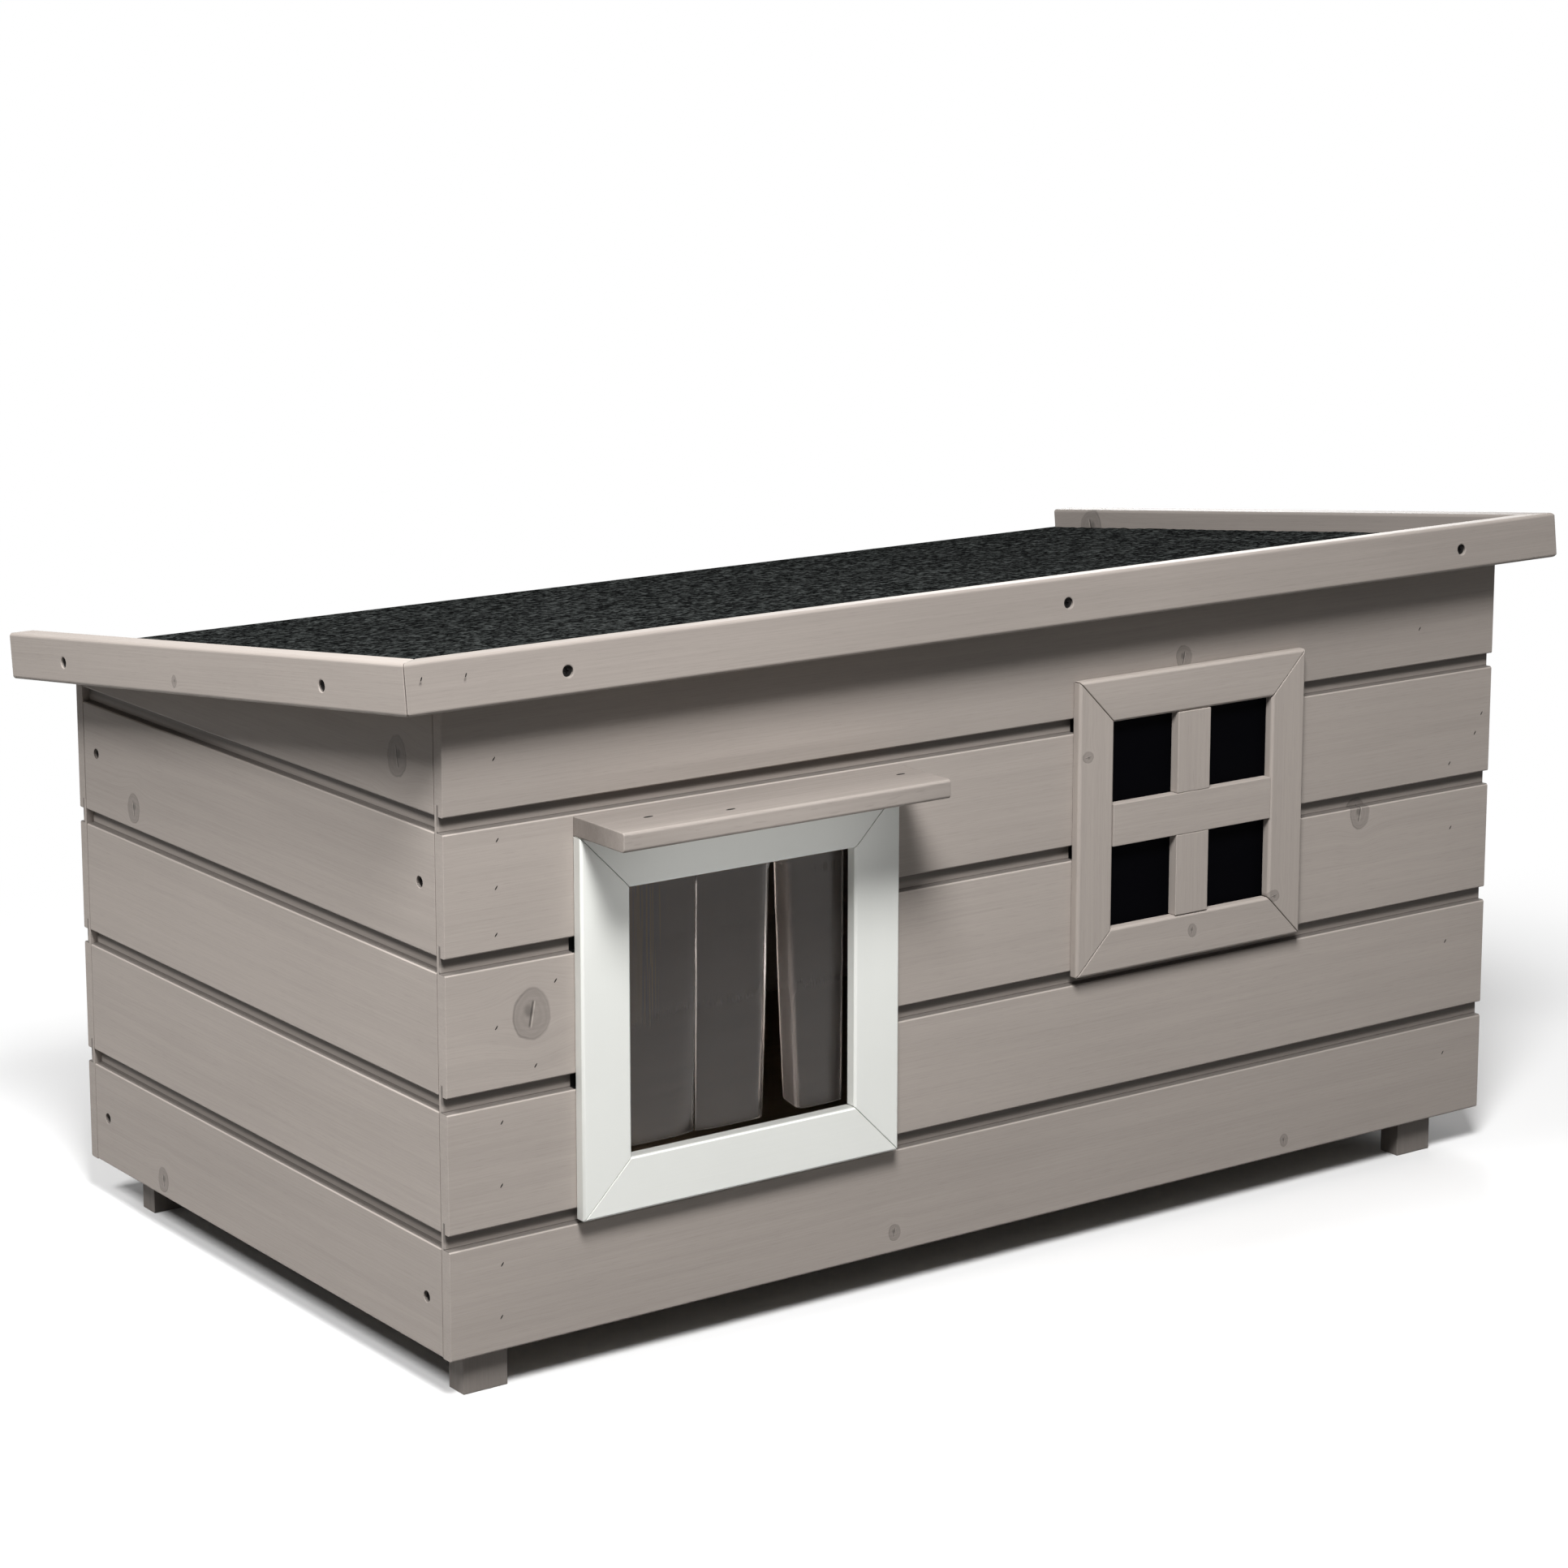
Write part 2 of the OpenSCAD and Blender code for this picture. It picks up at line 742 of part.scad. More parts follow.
fascia_right();
roof_battens();
fascia_screws();
hinge_wall_leaves();
hinge_roof_leaves();
hinge_pins();
hinge_wall_screws();
hinge_roof_screws();
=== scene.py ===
# %% [markdown]
# # Outdoor cat house
#
# A small wooden shed for a garden or a terrace. The imported model is the frame:
# it says where every board, screw and hinge is. This notebook dresses it. Wood
# gets eased edges, grain and knots, the roof gets its felt, and the doorway
# gets its clear strips. Everything is in metres, in the frame's own axes.
#
# The frame is loaded first.

# %% Load the frame
import json
import math

import bmesh
import bpy
import numpy as np
from mathutils import Matrix, Vector

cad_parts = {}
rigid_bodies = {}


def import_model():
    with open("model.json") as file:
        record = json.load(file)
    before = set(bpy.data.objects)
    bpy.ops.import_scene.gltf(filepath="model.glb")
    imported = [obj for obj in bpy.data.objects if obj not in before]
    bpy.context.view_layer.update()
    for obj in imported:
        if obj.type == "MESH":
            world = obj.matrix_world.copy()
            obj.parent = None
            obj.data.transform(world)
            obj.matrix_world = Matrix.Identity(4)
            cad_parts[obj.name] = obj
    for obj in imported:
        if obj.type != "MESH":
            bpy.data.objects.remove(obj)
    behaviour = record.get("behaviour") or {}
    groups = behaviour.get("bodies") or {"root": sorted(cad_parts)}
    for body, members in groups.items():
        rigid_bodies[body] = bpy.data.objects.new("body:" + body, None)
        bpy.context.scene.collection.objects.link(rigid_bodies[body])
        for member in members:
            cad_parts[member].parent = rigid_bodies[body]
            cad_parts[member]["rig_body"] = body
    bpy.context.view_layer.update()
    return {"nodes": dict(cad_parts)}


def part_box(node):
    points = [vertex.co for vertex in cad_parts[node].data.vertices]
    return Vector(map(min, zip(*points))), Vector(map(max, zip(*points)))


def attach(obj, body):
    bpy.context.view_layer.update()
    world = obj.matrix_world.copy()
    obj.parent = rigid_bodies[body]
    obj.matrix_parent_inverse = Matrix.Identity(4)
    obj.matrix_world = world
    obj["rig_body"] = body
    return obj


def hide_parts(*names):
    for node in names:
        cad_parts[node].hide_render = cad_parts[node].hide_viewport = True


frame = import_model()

NODES = frame["nodes"]

# %% [markdown]
# ## Camera
#
# The house is looked at from its front left corner, a little from above. A long
# lens keeps the walls nearly upright, and a small shift lowers the view.

# %% Camera
CAMERA_PLACE = Vector((-1.7193, -2.3537, 0.9781))
YAW, PITCH = math.radians(35.74), math.radians(10.70)
LENS_MM, SENSOR_MM, SHIFT = 90.67, 36.0, -0.1
NEAREST, FARTHEST = 0.05, 200.0


def put(name, data, place=(0, 0, 0), ahead=None):
    """Puts a new object into the scene. A camera or a lamp is turned to look ahead."""
    made = bpy.data.objects.new(name, data)
    made.location = place
    if ahead is not None:
        made.rotation_mode = "QUATERNION"
        made.rotation_quaternion = ahead.to_track_quat("-Z", "Y")
    bpy.context.scene.collection.objects.link(made)
    return made


lens = bpy.data.cameras.new("camera")
lens.lens, lens.sensor_width, lens.shift_y = LENS_MM, SENSOR_MM, SHIFT
lens.clip_start, lens.clip_end = NEAREST, FARTHEST
ahead = Vector((math.sin(YAW) * math.cos(PITCH), math.cos(YAW) * math.cos(PITCH), -math.sin(PITCH)))
bpy.context.scene.camera = put("camera", lens, CAMERA_PLACE, ahead)
bpy.context.scene.view_settings.view_transform = "Standard"
print("camera looks along", [round(v, 3) for v in ahead])

# %% [markdown]
# ## Tools for materials
#
# A material is a small graph of nodes. A few helpers keep the graphs readable:
# one adds any node and joins its inputs, and the others are one step of
# arithmetic each, on numbers, on vectors or on colours.

# %% Node helpers
def fill(tree, node, inputs):
    """Gives a node's inputs their values, or joins them to sockets, by name or number."""
    for key, value in inputs.items():
        if isinstance(value, bpy.types.NodeSocket):
            tree.links.new(value, node.inputs[key])
        else:
            node.inputs[key].default_value = value


def add(tree, kind, inputs=None, out=0, **settings):
    """Adds one node, fills its inputs, and gives one of its output sockets."""
    made = tree.nodes.new("ShaderNode" + kind)
    for name, value in settings.items():
        setattr(made, name, value)
    fill(tree, made, inputs or {})
    return made.outputs[out]


def calc(tree, operation, *values):
    """One step of arithmetic on numbers or sockets."""
    return add(tree, "Math", dict(enumerate(values)), operation=operation)


def times(tree, *values):
    """The product of two or more numbers or sockets."""
    result = values[0]
    for value in values[1:]:
        result = calc(tree, "MULTIPLY", result, value)
    return result


def vector_calc(tree, operation, *values, out=0):
    """One step of arithmetic on vectors."""
    return add(tree, "VectorMath", dict(enumerate(values)), out=out, operation=operation)


def scaled(tree, vector, factor):
    """A vector or a colour, times a number."""
    return add(tree, "VectorMath", {0: vector, "Scale": factor}, operation="SCALE")


def length(tree, vector):
    """How long a vector is."""
    return vector_calc(tree, "LENGTH", vector, out="Value")


def object_place(tree):
    """A point's place in the object's own coordinates, which are those of the frame."""
    return add(tree, "TexCoord", out="Object")


def noise(tree, vector, scale, detail=3.0, roughness=0.5, distortion=0.0):
    """Smooth noise from 0 to 1, even all over."""
    return add(tree, "TexNoise", {"Vector": vector, "Scale": scale, "Detail": detail,
                                  "Roughness": roughness, "Distortion": distortion})


def between(tree, value, low, high, new_low=0.0, new_high=1.0, kind="SMOOTHSTEP"):
    """Carries a value from one range to another, and holds it at the ends."""
    return add(tree, "MapRange", {0: value, 1: low, 2: high, 3: new_low, 4: new_high},
               interpolation_type=kind)


def near(tree, value, full, none):
    """1 where the size of a value is below full, 0 where it is above none."""
    return between(tree, calc(tree, "ABSOLUTE", value), full, none, 1.0, 0.0)


def blend_colours(tree, share, first, second):
    """Mixes two colours by a share from 0 to 1."""
    return add(tree, "Mix", {0: share, 6: first, 7: second}, out=2, data_type="RGBA")


def linear(red, green, blue):
    """A colour given as it looks on a screen, from 0 to 255, made linear for the shader."""
    parts = np.array([red, green, blue]) / 255
    parts = np.where(parts <= 0.04045, parts / 12.92, ((parts + 0.055) / 1.055) ** 2.4)
    return (*parts.tolist(), 1.0)


def new_material(name):
    """An empty material with one Principled shader; gives material, node tree and shader."""
    material = bpy.data.materials.new(name)
    material.use_nodes = True
    tree = material.node_tree
    return material, tree, tree.nodes["Principled BSDF"]


def bump(tree, height, strength, distance):
    """Makes light fall as if the surface stood higher by the height times the distance."""
    return add(tree, "Bump", {"Height": height, "Strength": strength, "Distance": distance})


def group(name, inputs, outputs):
    """An empty node group; gives the group, the sockets it is given and the sockets it fills."""
    tree = bpy.data.node_groups.new(name, "ShaderNodeTree")
    for direction, sockets in (("INPUT", inputs), ("OUTPUT", outputs)):
        for label, kind in sockets.items():
            tree.interface.new_socket(label, in_out=direction, socket_type="NodeSocket" + kind)
    return tree, tree.nodes.new("NodeGroupInput").outputs, tree.nodes.new("NodeGroupOutput").inputs


def use_group(tree, inner, inputs):
    """Puts a node group in a tree and fills its inputs; gives its outputs."""
    return add(tree, "Group", inputs, node_tree=inner).node.outputs


# %% [markdown]
# ## Stained softwood
#
# The boards are planed pine with a thin grey-brown stain, which hides most of
# the colour and leaves the grain as fine, faint streaks. The grain is noise
# stretched along the board. A knot pushes the streaks aside, so each knot bends
# the coordinates before the noise reads them, and then adds its own drawing.
# All of it is worked out from the place on the board, so it needs no picture
# and it stays sharp from near by.

# %% Knot group
# Lengths are in radii of the knot. A range ends with the shades at both of its ends.
TILT, OVAL, WOBBLE = -0.16, (1.10, 0.91, 0.0), 0.16
PUSH, PUSH_FALL = 0.7, 0.35
RINGS, RING_WOBBLE, RING_SHADE, KNOT_SHADE = 19.0, 5.0, 0.94, 0.76
HEART_PLACE, HEART = (-0.12, 0.16, 0.0), (0.10, 0.36, 0.62, 1.0)
ALONG_CRACK, ACROSS_CRACK, CRACK_REACH = (0.39, 0.92, 0.0), (0.92, -0.39, 0.0), (0.45, 0.60)
# The crack and the glint beside it: place across, where it is full, where it ends, and its shade.
CRACK, GLINT = (-0.03, 0.02, 0.08, -0.55), (0.07, 0.02, 0.05, 0.55)
INSIDE, RIM_WIDTH, RIM = (0.94, 1.03, 1.0, 0.0), (0.01, 0.09), (-0.9, 0.9, -0.34, -0.16)


def make_knot_group():
    """Draws one knot and bends the grain round it. The distance is the length of the place
    from the centre, in radii, on an upright oval. A thin rim lies at distance 1, faint rings
    inside it, a dark heart beside the middle, and a slanted crack through the heart. The
    grain is pushed across the board by its distance from the centre line, times a bell
    curve of the distance."""
    tree, given, result = group("knot", {"Vector": "Vector", "Centre": "Vector", "Radius": "Float"},
                                {"Vector": "Vector", "Shade": "Float"})
    apart = vector_calc(tree, "SUBTRACT", given["Vector"], given["Centre"])
    turned = add(tree, "VectorRotate", {"Vector": apart, "Angle": TILT}, rotation_type="Z_AXIS")
    oval = vector_calc(tree, "MULTIPLY", turned, OVAL)
    place = scaled(tree, oval, calc(tree, "DIVIDE", 1.0, given["Radius"]))
    wobble = noise(tree, vector_calc(tree, "ADD", place, scaled(tree, given["Centre"], 40.0)), 1.1, 2.0)
    distance = calc(tree, "ADD", length(tree, place),
                    between(tree, wobble, 0, 1, -WOBBLE, WOBBLE, "LINEAR"))

    bell = calc(tree, "EXPONENT", times(tree, calc(tree, "POWER", distance, 2.0), -PUSH_FALL))
    push = times(tree, add(tree, "SeparateXYZ", {0: apart}, out="Y"), bell, -PUSH)
    bent = vector_calc(tree, "ADD", given["Vector"], add(tree, "CombineXYZ", {1: push}))
    tree.links.new(bent, result["Vector"])

    wave = calc(tree, "ADD", times(tree, distance, RINGS), times(tree, wobble, RING_WOBBLE))
    rings = between(tree, calc(tree, "SINE", wave), -1, 1, RING_SHADE, 1.0)
    heart = between(tree, length(tree, vector_calc(tree, "SUBTRACT", place, HEART_PLACE)), *HEART)
    across = vector_calc(tree, "DOT_PRODUCT", place, ACROSS_CRACK, out="Value")
    along = vector_calc(tree, "DOT_PRODUCT", place, ALONG_CRACK, out="Value")
    reach = near(tree, along, *CRACK_REACH)
    lines = [times(tree, near(tree, calc(tree, "SUBTRACT", across, middle), full, none), reach, shade)
             for middle, full, none, shade in (CRACK, GLINT)]
    drawing = times(tree, rings, heart, KNOT_SHADE, calc(tree, "ADD", 1.0, calc(tree, "ADD", *lines)))
    inside = between(tree, distance, *INSIDE)
    rim = times(tree, near(tree, calc(tree, "SUBTRACT", distance, 1.0), *RIM_WIDTH),
                between(tree, add(tree, "SeparateXYZ", {0: place}, out="X"), *RIM))
    shade = add(tree, "Mix", {0: inside, 2: 1.0, 3: drawing})
    tree.links.new(times(tree, shade, calc(tree, "ADD", 1.0, rim)), result["Shade"])
    return tree


KNOT = make_knot_group()


# %% Grain group
# For each part: its changes in a metre along, across and into the board, then the noise's
# scale, detail, roughness and distortion.
GRAIN_PARTS = {
    "Bands": ((3.0, 95.0, 40.0), 1.0, 3.0, 0.55, 0.6),
    "Fibres": ((9.0, 900.0, 300.0), 1.0, 2.0),
    "Pores": ((60.0, 1500.0, 600.0), 1.0, 1.0),
    "Blotches": ((4.0, 11.0, 11.0), 1.0, 2.0),
}
PORE_EDGE = (0.30, 0.42)


def make_grain_group():
    """Streaks along the first axis. Three noises are stretched by different amounts:
    broad bands of growth, fine fibres, and short dark pores. A fourth, nearly even one
    makes slow blotches."""
    tree, given, result = group("grain", {"Vector": "Vector"}, dict.fromkeys(GRAIN_PARTS, "Float"))
    for part, (stretch, *settings) in GRAIN_PARTS.items():
        streaks = noise(tree, vector_calc(tree, "MULTIPLY", given["Vector"], stretch), *settings)
        if part == "Pores":
            streaks = between(tree, streaks, *PORE_EDGE)
        tree.links.new(streaks, result[part])
    return tree


GRAIN = make_grain_group()

# %% [markdown]
# The grain runs along each piece, so its axes are turned to the piece before
# anything reads them: first along, then across, then into the wood. A number
# per piece moves the pattern on, so no two boards have the same streaks.
#
# Two more things darken the wood. The wall of a screw hole is painted nearly black, a
# painted shade for the inside of the hole. The groove between two boards gets painted
# shade over its recess, deepest under the next board, and a thin darkest line on its ledge.
# Where a groove runs into the door frame or the window frame, its back has been sawn away
# for the opening, and a short end of it is painted black for the shade in that gap.

# %% Wood materials
ALONG_X = ((1, 0, 0), (0, 0, 1), (0, -1, 0))
ALONG_Y = ((0, 1, 0), (0, 0, 1), (1, 0, 0))
ALONG_Z = ((0, 0, 1), (1, 0, 0), (0, 1, 0))
ACROSS_TOP = ((1, 0, 0), (0, 1, 0), (0, 0, 1))
# A screw hole: its radius, half the width of its edge, how deep its painted shade reaches, and that shade.
HOLE_RADIUS, HOLE_EDGE, HOLE_DEPTH, HOLE_PAINTED_SHADE = 0.0039, 0.0001, (0.008, 0.009), 0.04
# A groove and its painted shade: heights above its ledge and depths below the face, then the
# shades at both ends.
GROOVE_HEIGHT, SAW_CUT, CUT_EDGE = 0.010, 0.006, 0.0002
LEDGE_AND_RECESS_SHADE, UNDER_LIP_SHADE = (0.0004, 0.0009, 0.35, 0.86), (0.0025, 0.0065, 1.0, 0.50)
ABOVE_LEDGE, BELOW_FACE, BEFORE_BACK = (-0.0008, -0.0003), (0.0004, 0.0009), (0.0070, 0.0080, 1.0, 0.0)
# Each part of the grain: its range, and how much it darkens and lightens the wood at the ends.
GRAIN_SHADES = {"Bands": (0.3, 0.7, -0.034, 0.022), "Fibres": (0.3, 0.7, -0.026, 0.018),
                "Pores": (0.0, 1.0, -0.055, 0.0), "Blotches": (0.3, 0.7, -0.03, 0.02)}
SEED_STEP = (0.37, 0.113, 0.71)
WOOD_ROUGHNESS, WOOD_SPECULAR, WOOD_BUMP = (0.2, 0.8, 0.66, 0.56), 0.2, (0.25, 0.0012)
LIGHT_RELIEF, FIBRE_RELIEF = 0.6, 0.05


def grain_vector(tree, axes):
    """Object coordinates, turned so that the first axis runs along the grain."""
    return add(tree, "Mapping", {"Vector": object_place(tree), "Rotation": Matrix(axes).to_euler("XYZ")})


def depth_below(tree, vector, face):
    """How deep a place lies below the outer face of its board."""
    into = add(tree, "SeparateXYZ", {0: vector}, out="Z")
    return calc(tree, "SUBTRACT", face, calc(tree, "ABSOLUTE", into))


def hole_painted_shade(tree, vector, along, across, face):
    """Painted shade inside one screw hole, nearly black: a step of the distance from the hole's
    axis, in the outer eight millimetres of the wood."""
    apart = vector_calc(tree, "SUBTRACT", vector, (along, across, 0))
    from_axis = length(tree, vector_calc(tree, "MULTIPLY", apart, (1, 1, 0)))
    outside = between(tree, from_axis, HOLE_RADIUS - HOLE_EDGE, HOLE_RADIUS + HOLE_EDGE)
    deep = between(tree, depth_below(tree, vector, face), *HOLE_DEPTH)
    return between(tree, calc(tree, "MAXIMUM", outside, deep), 0, 1, HOLE_PAINTED_SHADE, 1.0, "LINEAR")


def groove_painted_shade(tree, vector, ledge, face, cuts):
    """Darker in the groove at a board's upper edge, which lies above the ledge and deeper than
    the face: painted shade over the recess, deepest high up, under the next board, and a thin
    darkest line on the ledge. From each cut on, the groove's back is sawn away for an opening,
    and a few millimetres of it are painted black, for the shade in that gap."""
    along, height, _ = add(tree, "SeparateXYZ", {0: vector}).node.outputs
    up = calc(tree, "SUBTRACT", height, ledge)
    depth = depth_below(tree, vector, face)
    inside = times(tree, between(tree, up, *ABOVE_LEDGE), between(tree, depth, *BELOW_FACE),
                   between(tree, depth, *BEFORE_BACK))
    shades = [between(tree, up, *LEDGE_AND_RECESS_SHADE), between(tree, up, *UNDER_LIP_SHADE)]
    half = SAW_CUT / 2
    for cut in cuts:
        from_cut = calc(tree, "SUBTRACT", along, cut + half)
        shades.append(calc(tree, "SUBTRACT", 1.0, near(tree, from_cut, half - CUT_EDGE, half + CUT_EDGE)))
    return add(tree, "Mix", {0: inside, 2: 1.0, 3: times(tree, *shades)})


def top_painted_shade(tree, height, factor, depth=0.0004):
    """Painted shade: darker on an upward face at this height, against the strong light from above."""
    up = add(tree, "SeparateXYZ", {0: object_place(tree)}, out="Z")
    return between(tree, up, height - depth, height - depth / 4, 1.0, factor)


def wood(name, axes, seed, colour, contrast=1.0, knots=(), holes=(), groove=None, top=None, tone=1.0):
    """A wood finish: a base colour, darker and lighter along the grain and round its knots,
    with painted shade in its screw holes, in its groove and on its top. All the shades are
    multiplied. The seed is the piece's own number, which moves its grain on."""
    material, tree, shader = new_material(name)
    straight = vector = grain_vector(tree, axes)
    shades = [hole_painted_shade(tree, straight, *hole) for hole in holes]
    if groove:
        shades.append(groove_painted_shade(tree, straight, *groove))
    if top:
        shades.append(top_painted_shade(tree, *top))
    for along, across, radius in knots:
        vector, shade = use_group(tree, KNOT, {"Vector": vector, "Centre": (along, across, 0),
                                               "Radius": radius})
        shades.append(shade)
    moved = vector_calc(tree, "ADD", vector, [step * seed for step in SEED_STEP])
    grain = use_group(tree, GRAIN, {"Vector": moved})
    shades += [between(tree, grain[part], low, high, 1 + darker * contrast, 1 + lighter * contrast)
               for part, (low, high, darker, lighter) in GRAIN_SHADES.items()]
    light = times(tree, *shades)
    tint = linear(*[part * tone for part in colour])
    height = calc(tree, "ADD", times(tree, light, LIGHT_RELIEF), times(tree, grain["Fibres"], FIBRE_RELIEF))
    fill(tree, shader, {"Base Color": scaled(tree, tint[:3], light), "Specular IOR Level": WOOD_SPECULAR,
                        "Roughness": between(tree, grain["Fibres"], *WOOD_ROUGHNESS),
                        "Normal": bump(tree, height, *WOOD_BUMP)})
    return material


STAIN = (170, 161, 154)
print("stain", [round(v, 3) for v in linear(*STAIN)])

# %% [markdown]
# ## Boards
#
# A planed board never has a razor edge: the stain rounds it, and the rounding
# catches a thin line of light. The shape of each board is right in the frame, so
# the board is a copy of it with its loose triangles merged, its flat faces made
# whole again, and a small bevel on every edge.
#
# Real boards never meet quite tight either, and the hair-thin gap shows as a
# dark line. Where two pieces meet, the face is moved back into its piece by the
# gap for that joint: least in a mitre, more at the ends of the side walls' boards.

# %% Eased copies
MITRE_GAP, BACK_GAP, LOWER_GAP, END_GAP = 0.00025, 0.0005, 0.0004, 0.0007
SMALL_FACE, SHARP_EDGE = 1e-4, 0.5
SAME_POINT, SAME_PLANE, BEVEL_FROM = 1e-5, math.radians(1.0), math.radians(30)
# A face looks along an axis where that part of its normal is larger than this.
SQUARE = 0.95


def parted(work, gap_of):
    """Moves joint faces back into the piece. Each corner slides along the sharp edge that leaves
    the face there, so the neighbouring faces stay flat. gap_of gives the gap for a face, or 0.
    Faces under one square centimetre, such as the walls of a screw hole, stay."""
    work.normal_update()
    chosen = [(face, gap_of(face)) for face in work.faces if face.calc_area() > SMALL_FACE]
    for face, gap in [pair for pair in chosen if pair[1]]:
        steps = []
        for corner in face.verts:
            ways = [(edge.other_vert(corner).co - corner.co).normalized() for edge in corner.link_edges
                    if edge not in face.edges[:] and edge.calc_face_angle(0) > SHARP_EDGE]
            way = min(ways, key=face.normal.dot, default=-face.normal)
            steps.append((corner, way * (gap / max(-face.normal.dot(way), 0.1))))
        for corner, step in steps:
            corner.co += step


def mitre_gap(face):
    """The gap of a mitre, which is the only face that looks along none of the three axes."""
    return MITRE_GAP if max(abs(v) for v in face.normal) < SQUARE else 0


def fitted_gap(face):
    """The gaps of a piece that is fixed to the front wall: its mitres, and its back."""
    return BACK_GAP if face.normal.y > SQUARE else mitre_gap(face)


def eased(node, material, width=0.0005, gaps=None):
    """Copies a node's mesh, merges it, and rounds its edges; the copy stands for the node."""
    source = NODES[node]
    mesh = source.data.copy()
    work = bmesh.new()
    work.from_mesh(mesh)
    bmesh.ops.remove_doubles(work, verts=work.verts, dist=SAME_POINT)
    bmesh.ops.dissolve_limit(work, angle_limit=SAME_PLANE, verts=work.verts, edges=work.edges)
    if gaps:
        parted(work, gaps)
    work.to_mesh(mesh)
    work.free()
    mesh.materials.clear()
    mesh.materials.append(material)
    piece = put(node + "_eased", mesh)
    bevel = piece.modifiers.new("eased", "BEVEL")
    bevel.width, bevel.segments = width, 2
    bevel.limit_method, bevel.angle_limit = "ANGLE", BEVEL_FROM
    bevel.use_clamp_overlap = bevel.loop_slide = False
    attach(piece, source["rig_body"])
    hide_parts(node)


def stained(node, axes, seed, width=0.0005, gaps=None, **shades):
    """Stains a wooden piece and rounds its edges."""
    eased(node, wood(f"stain_{node}", axes, seed, STAIN, **shades), width, gaps)


# %% Wall boards
# Knots are (along, across, radius): along the board from its middle, and up from the floor.
KNOTS = {
    "front_board_1": [(0.264, 0.0403, 0.0045), (-0.107, 0.0434, 0.0055)],
    "front_board_3": [(-0.405, 0.2537, 0.0155), (0.334, 0.2847, 0.0105)],
    "front_board_5": [(0.154, 0.4257, 0.0080)],
    "back_board_2": [(0.210, 0.1650, 0.0110)],
    "back_board_3": [(-0.265, 0.2500, 0.0140), (0.080, 0.2270, 0.0050)],
    "back_board_4": [(0.020, 0.3420, 0.0070)],
    "left_board_1": [(0.1616, 0.0417, 0.0085)],
    "left_board_4": [(0.1916, 0.3157, 0.0100)],
    "left_board_5": [(-0.1904, 0.4237, 0.0125)],
    "right_board_2": [(-0.090, 0.1520, 0.0120)],
    "right_board_4": [(0.120, 0.3550, 0.0080)],
}
# Each wall: the way its grain runs, how many boards it has, and how far out its face lies.
WALLS = {"front": (ALONG_X, 5, 0.2464), "back": (ALONG_X, 4, 0.2806), "left": (ALONG_Y, 5, 0.470),
         "right": (ALONG_Y, 5, 0.470)}
# No two boards take the stain alike. These are the tones from the lowest board up; the top
# board's lower tone is also a painted shade, for the shadow under the roof.
WALL_TONES_AND_SHADE = (0.975, 1.0, 1.0, 0.98, 0.925)
# The screws of the side walls: a height for each board that has them, and two places along it.
SIDE_SCREWS, SIDE_SCREWS_ALONG = {1: 0.0655, 4: 0.3457}, (-0.2164, 0.2506)
# Where the backs of the grooves end at a frame, counted from the frame's outer edge.
SAWN_AT = {"door_frame_left": -0.0006, "window_frame_left": 0.0021}


def saw_cuts(ledge):
    """The places along the front wall where a groove at this height runs into a frame."""
    frames = [(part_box(node), shift) for node, shift in SAWN_AT.items()]
    return [low.x + shift for (low, high), shift in frames if low.z < ledge < high.z]


def board_gaps(bottom, jointed, on_side):
    """The gaps where a board meets its neighbours: below its lower edge, and at both ends
    on the side walls, whose boards stand between the front wall and the back wall."""
    def gap_of(face):
        if jointed and face.normal.z < -SQUARE and face.calc_center_median().z < bottom + 0.001:
            return LOWER_GAP
        return END_GAP if on_side and abs(face.normal.y) > SQUARE else 0
    return gap_of


count = 0
for side, (axes, boards, face) in WALLS.items():
    for number in range(1, boards + 1):
        count += 1
        node = f"{side}_board_{number}"
        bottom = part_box(node)[0].z
        on_side = side in ("left", "right")
        holes = ([(y, SIDE_SCREWS[number], face) for y in SIDE_SCREWS_ALONG]
                 if on_side and number in SIDE_SCREWS else ())
        groove = None
        if number < boards:
            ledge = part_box(f"{side}_board_{number + 1}")[0].z - GROOVE_HEIGHT
            groove = (ledge, face, saw_cuts(ledge) if side == "front" else ())
        stained(node, axes, count, 0.0003, board_gaps(bottom, number > 1, on_side),
                tone=WALL_TONES_AND_SHADE[number - 1], knots=KNOTS.get(node, ()), holes=holes, groove=groove)
print("wall boards", count)

# %% [markdown]
# The roof's edge boards, the feet and the canopy are the same stained wood. The
# edge boards lie along the slope of the roof, so their grain is turned by the
# slope too. On these, places are given down the slope and off it, both counted
# from where the roof's plane meets the front wall.

# %% Edge boards, canopy and feet
SLOPE = math.radians(6.9)
ROOF_START = (-0.246397, 0.4702)
DOWN_SLOPE = (0.0, math.cos(SLOPE), -math.sin(SLOPE))
OFF_SLOPE = (0.0, math.sin(SLOPE), math.cos(SLOPE))
ALONG_SLOPE = (DOWN_SLOPE, OFF_SLOPE, (1, 0, 0))
FLAT_ON_SLOPE = ((1, 0, 0), DOWN_SLOPE, OFF_SLOPE)
FRONT_EDGE, SIDE_EDGE, EDGE_EASE = -0.0263, 0.510, 0.0008
SCREWS_UP, FRONT_SCREWS, SIDE_SCREWS_DOWN = 0.0101, (-0.390, 0.024, 0.408), (0.0807, 0.4647)
# Each side: its tone, then its knot as places down the slope and off it, and a radius.
# The right one's darker tone is a painted shade.
SIDE_FASCIAS = {"left": (0.96, 0.29, 0.004, 0.004), "right": (0.74, 0.504, 0.012, 0.0150)}
# The canopy's top is darkened by a painted shade, against the strong light from above.
FRONT_TONE, CANOPY_TONE, CANOPY_TOP_PAINTED_SHADE, FOOT_PAINTED_SHADE = 0.89, 0.92, 0.78, 0.76


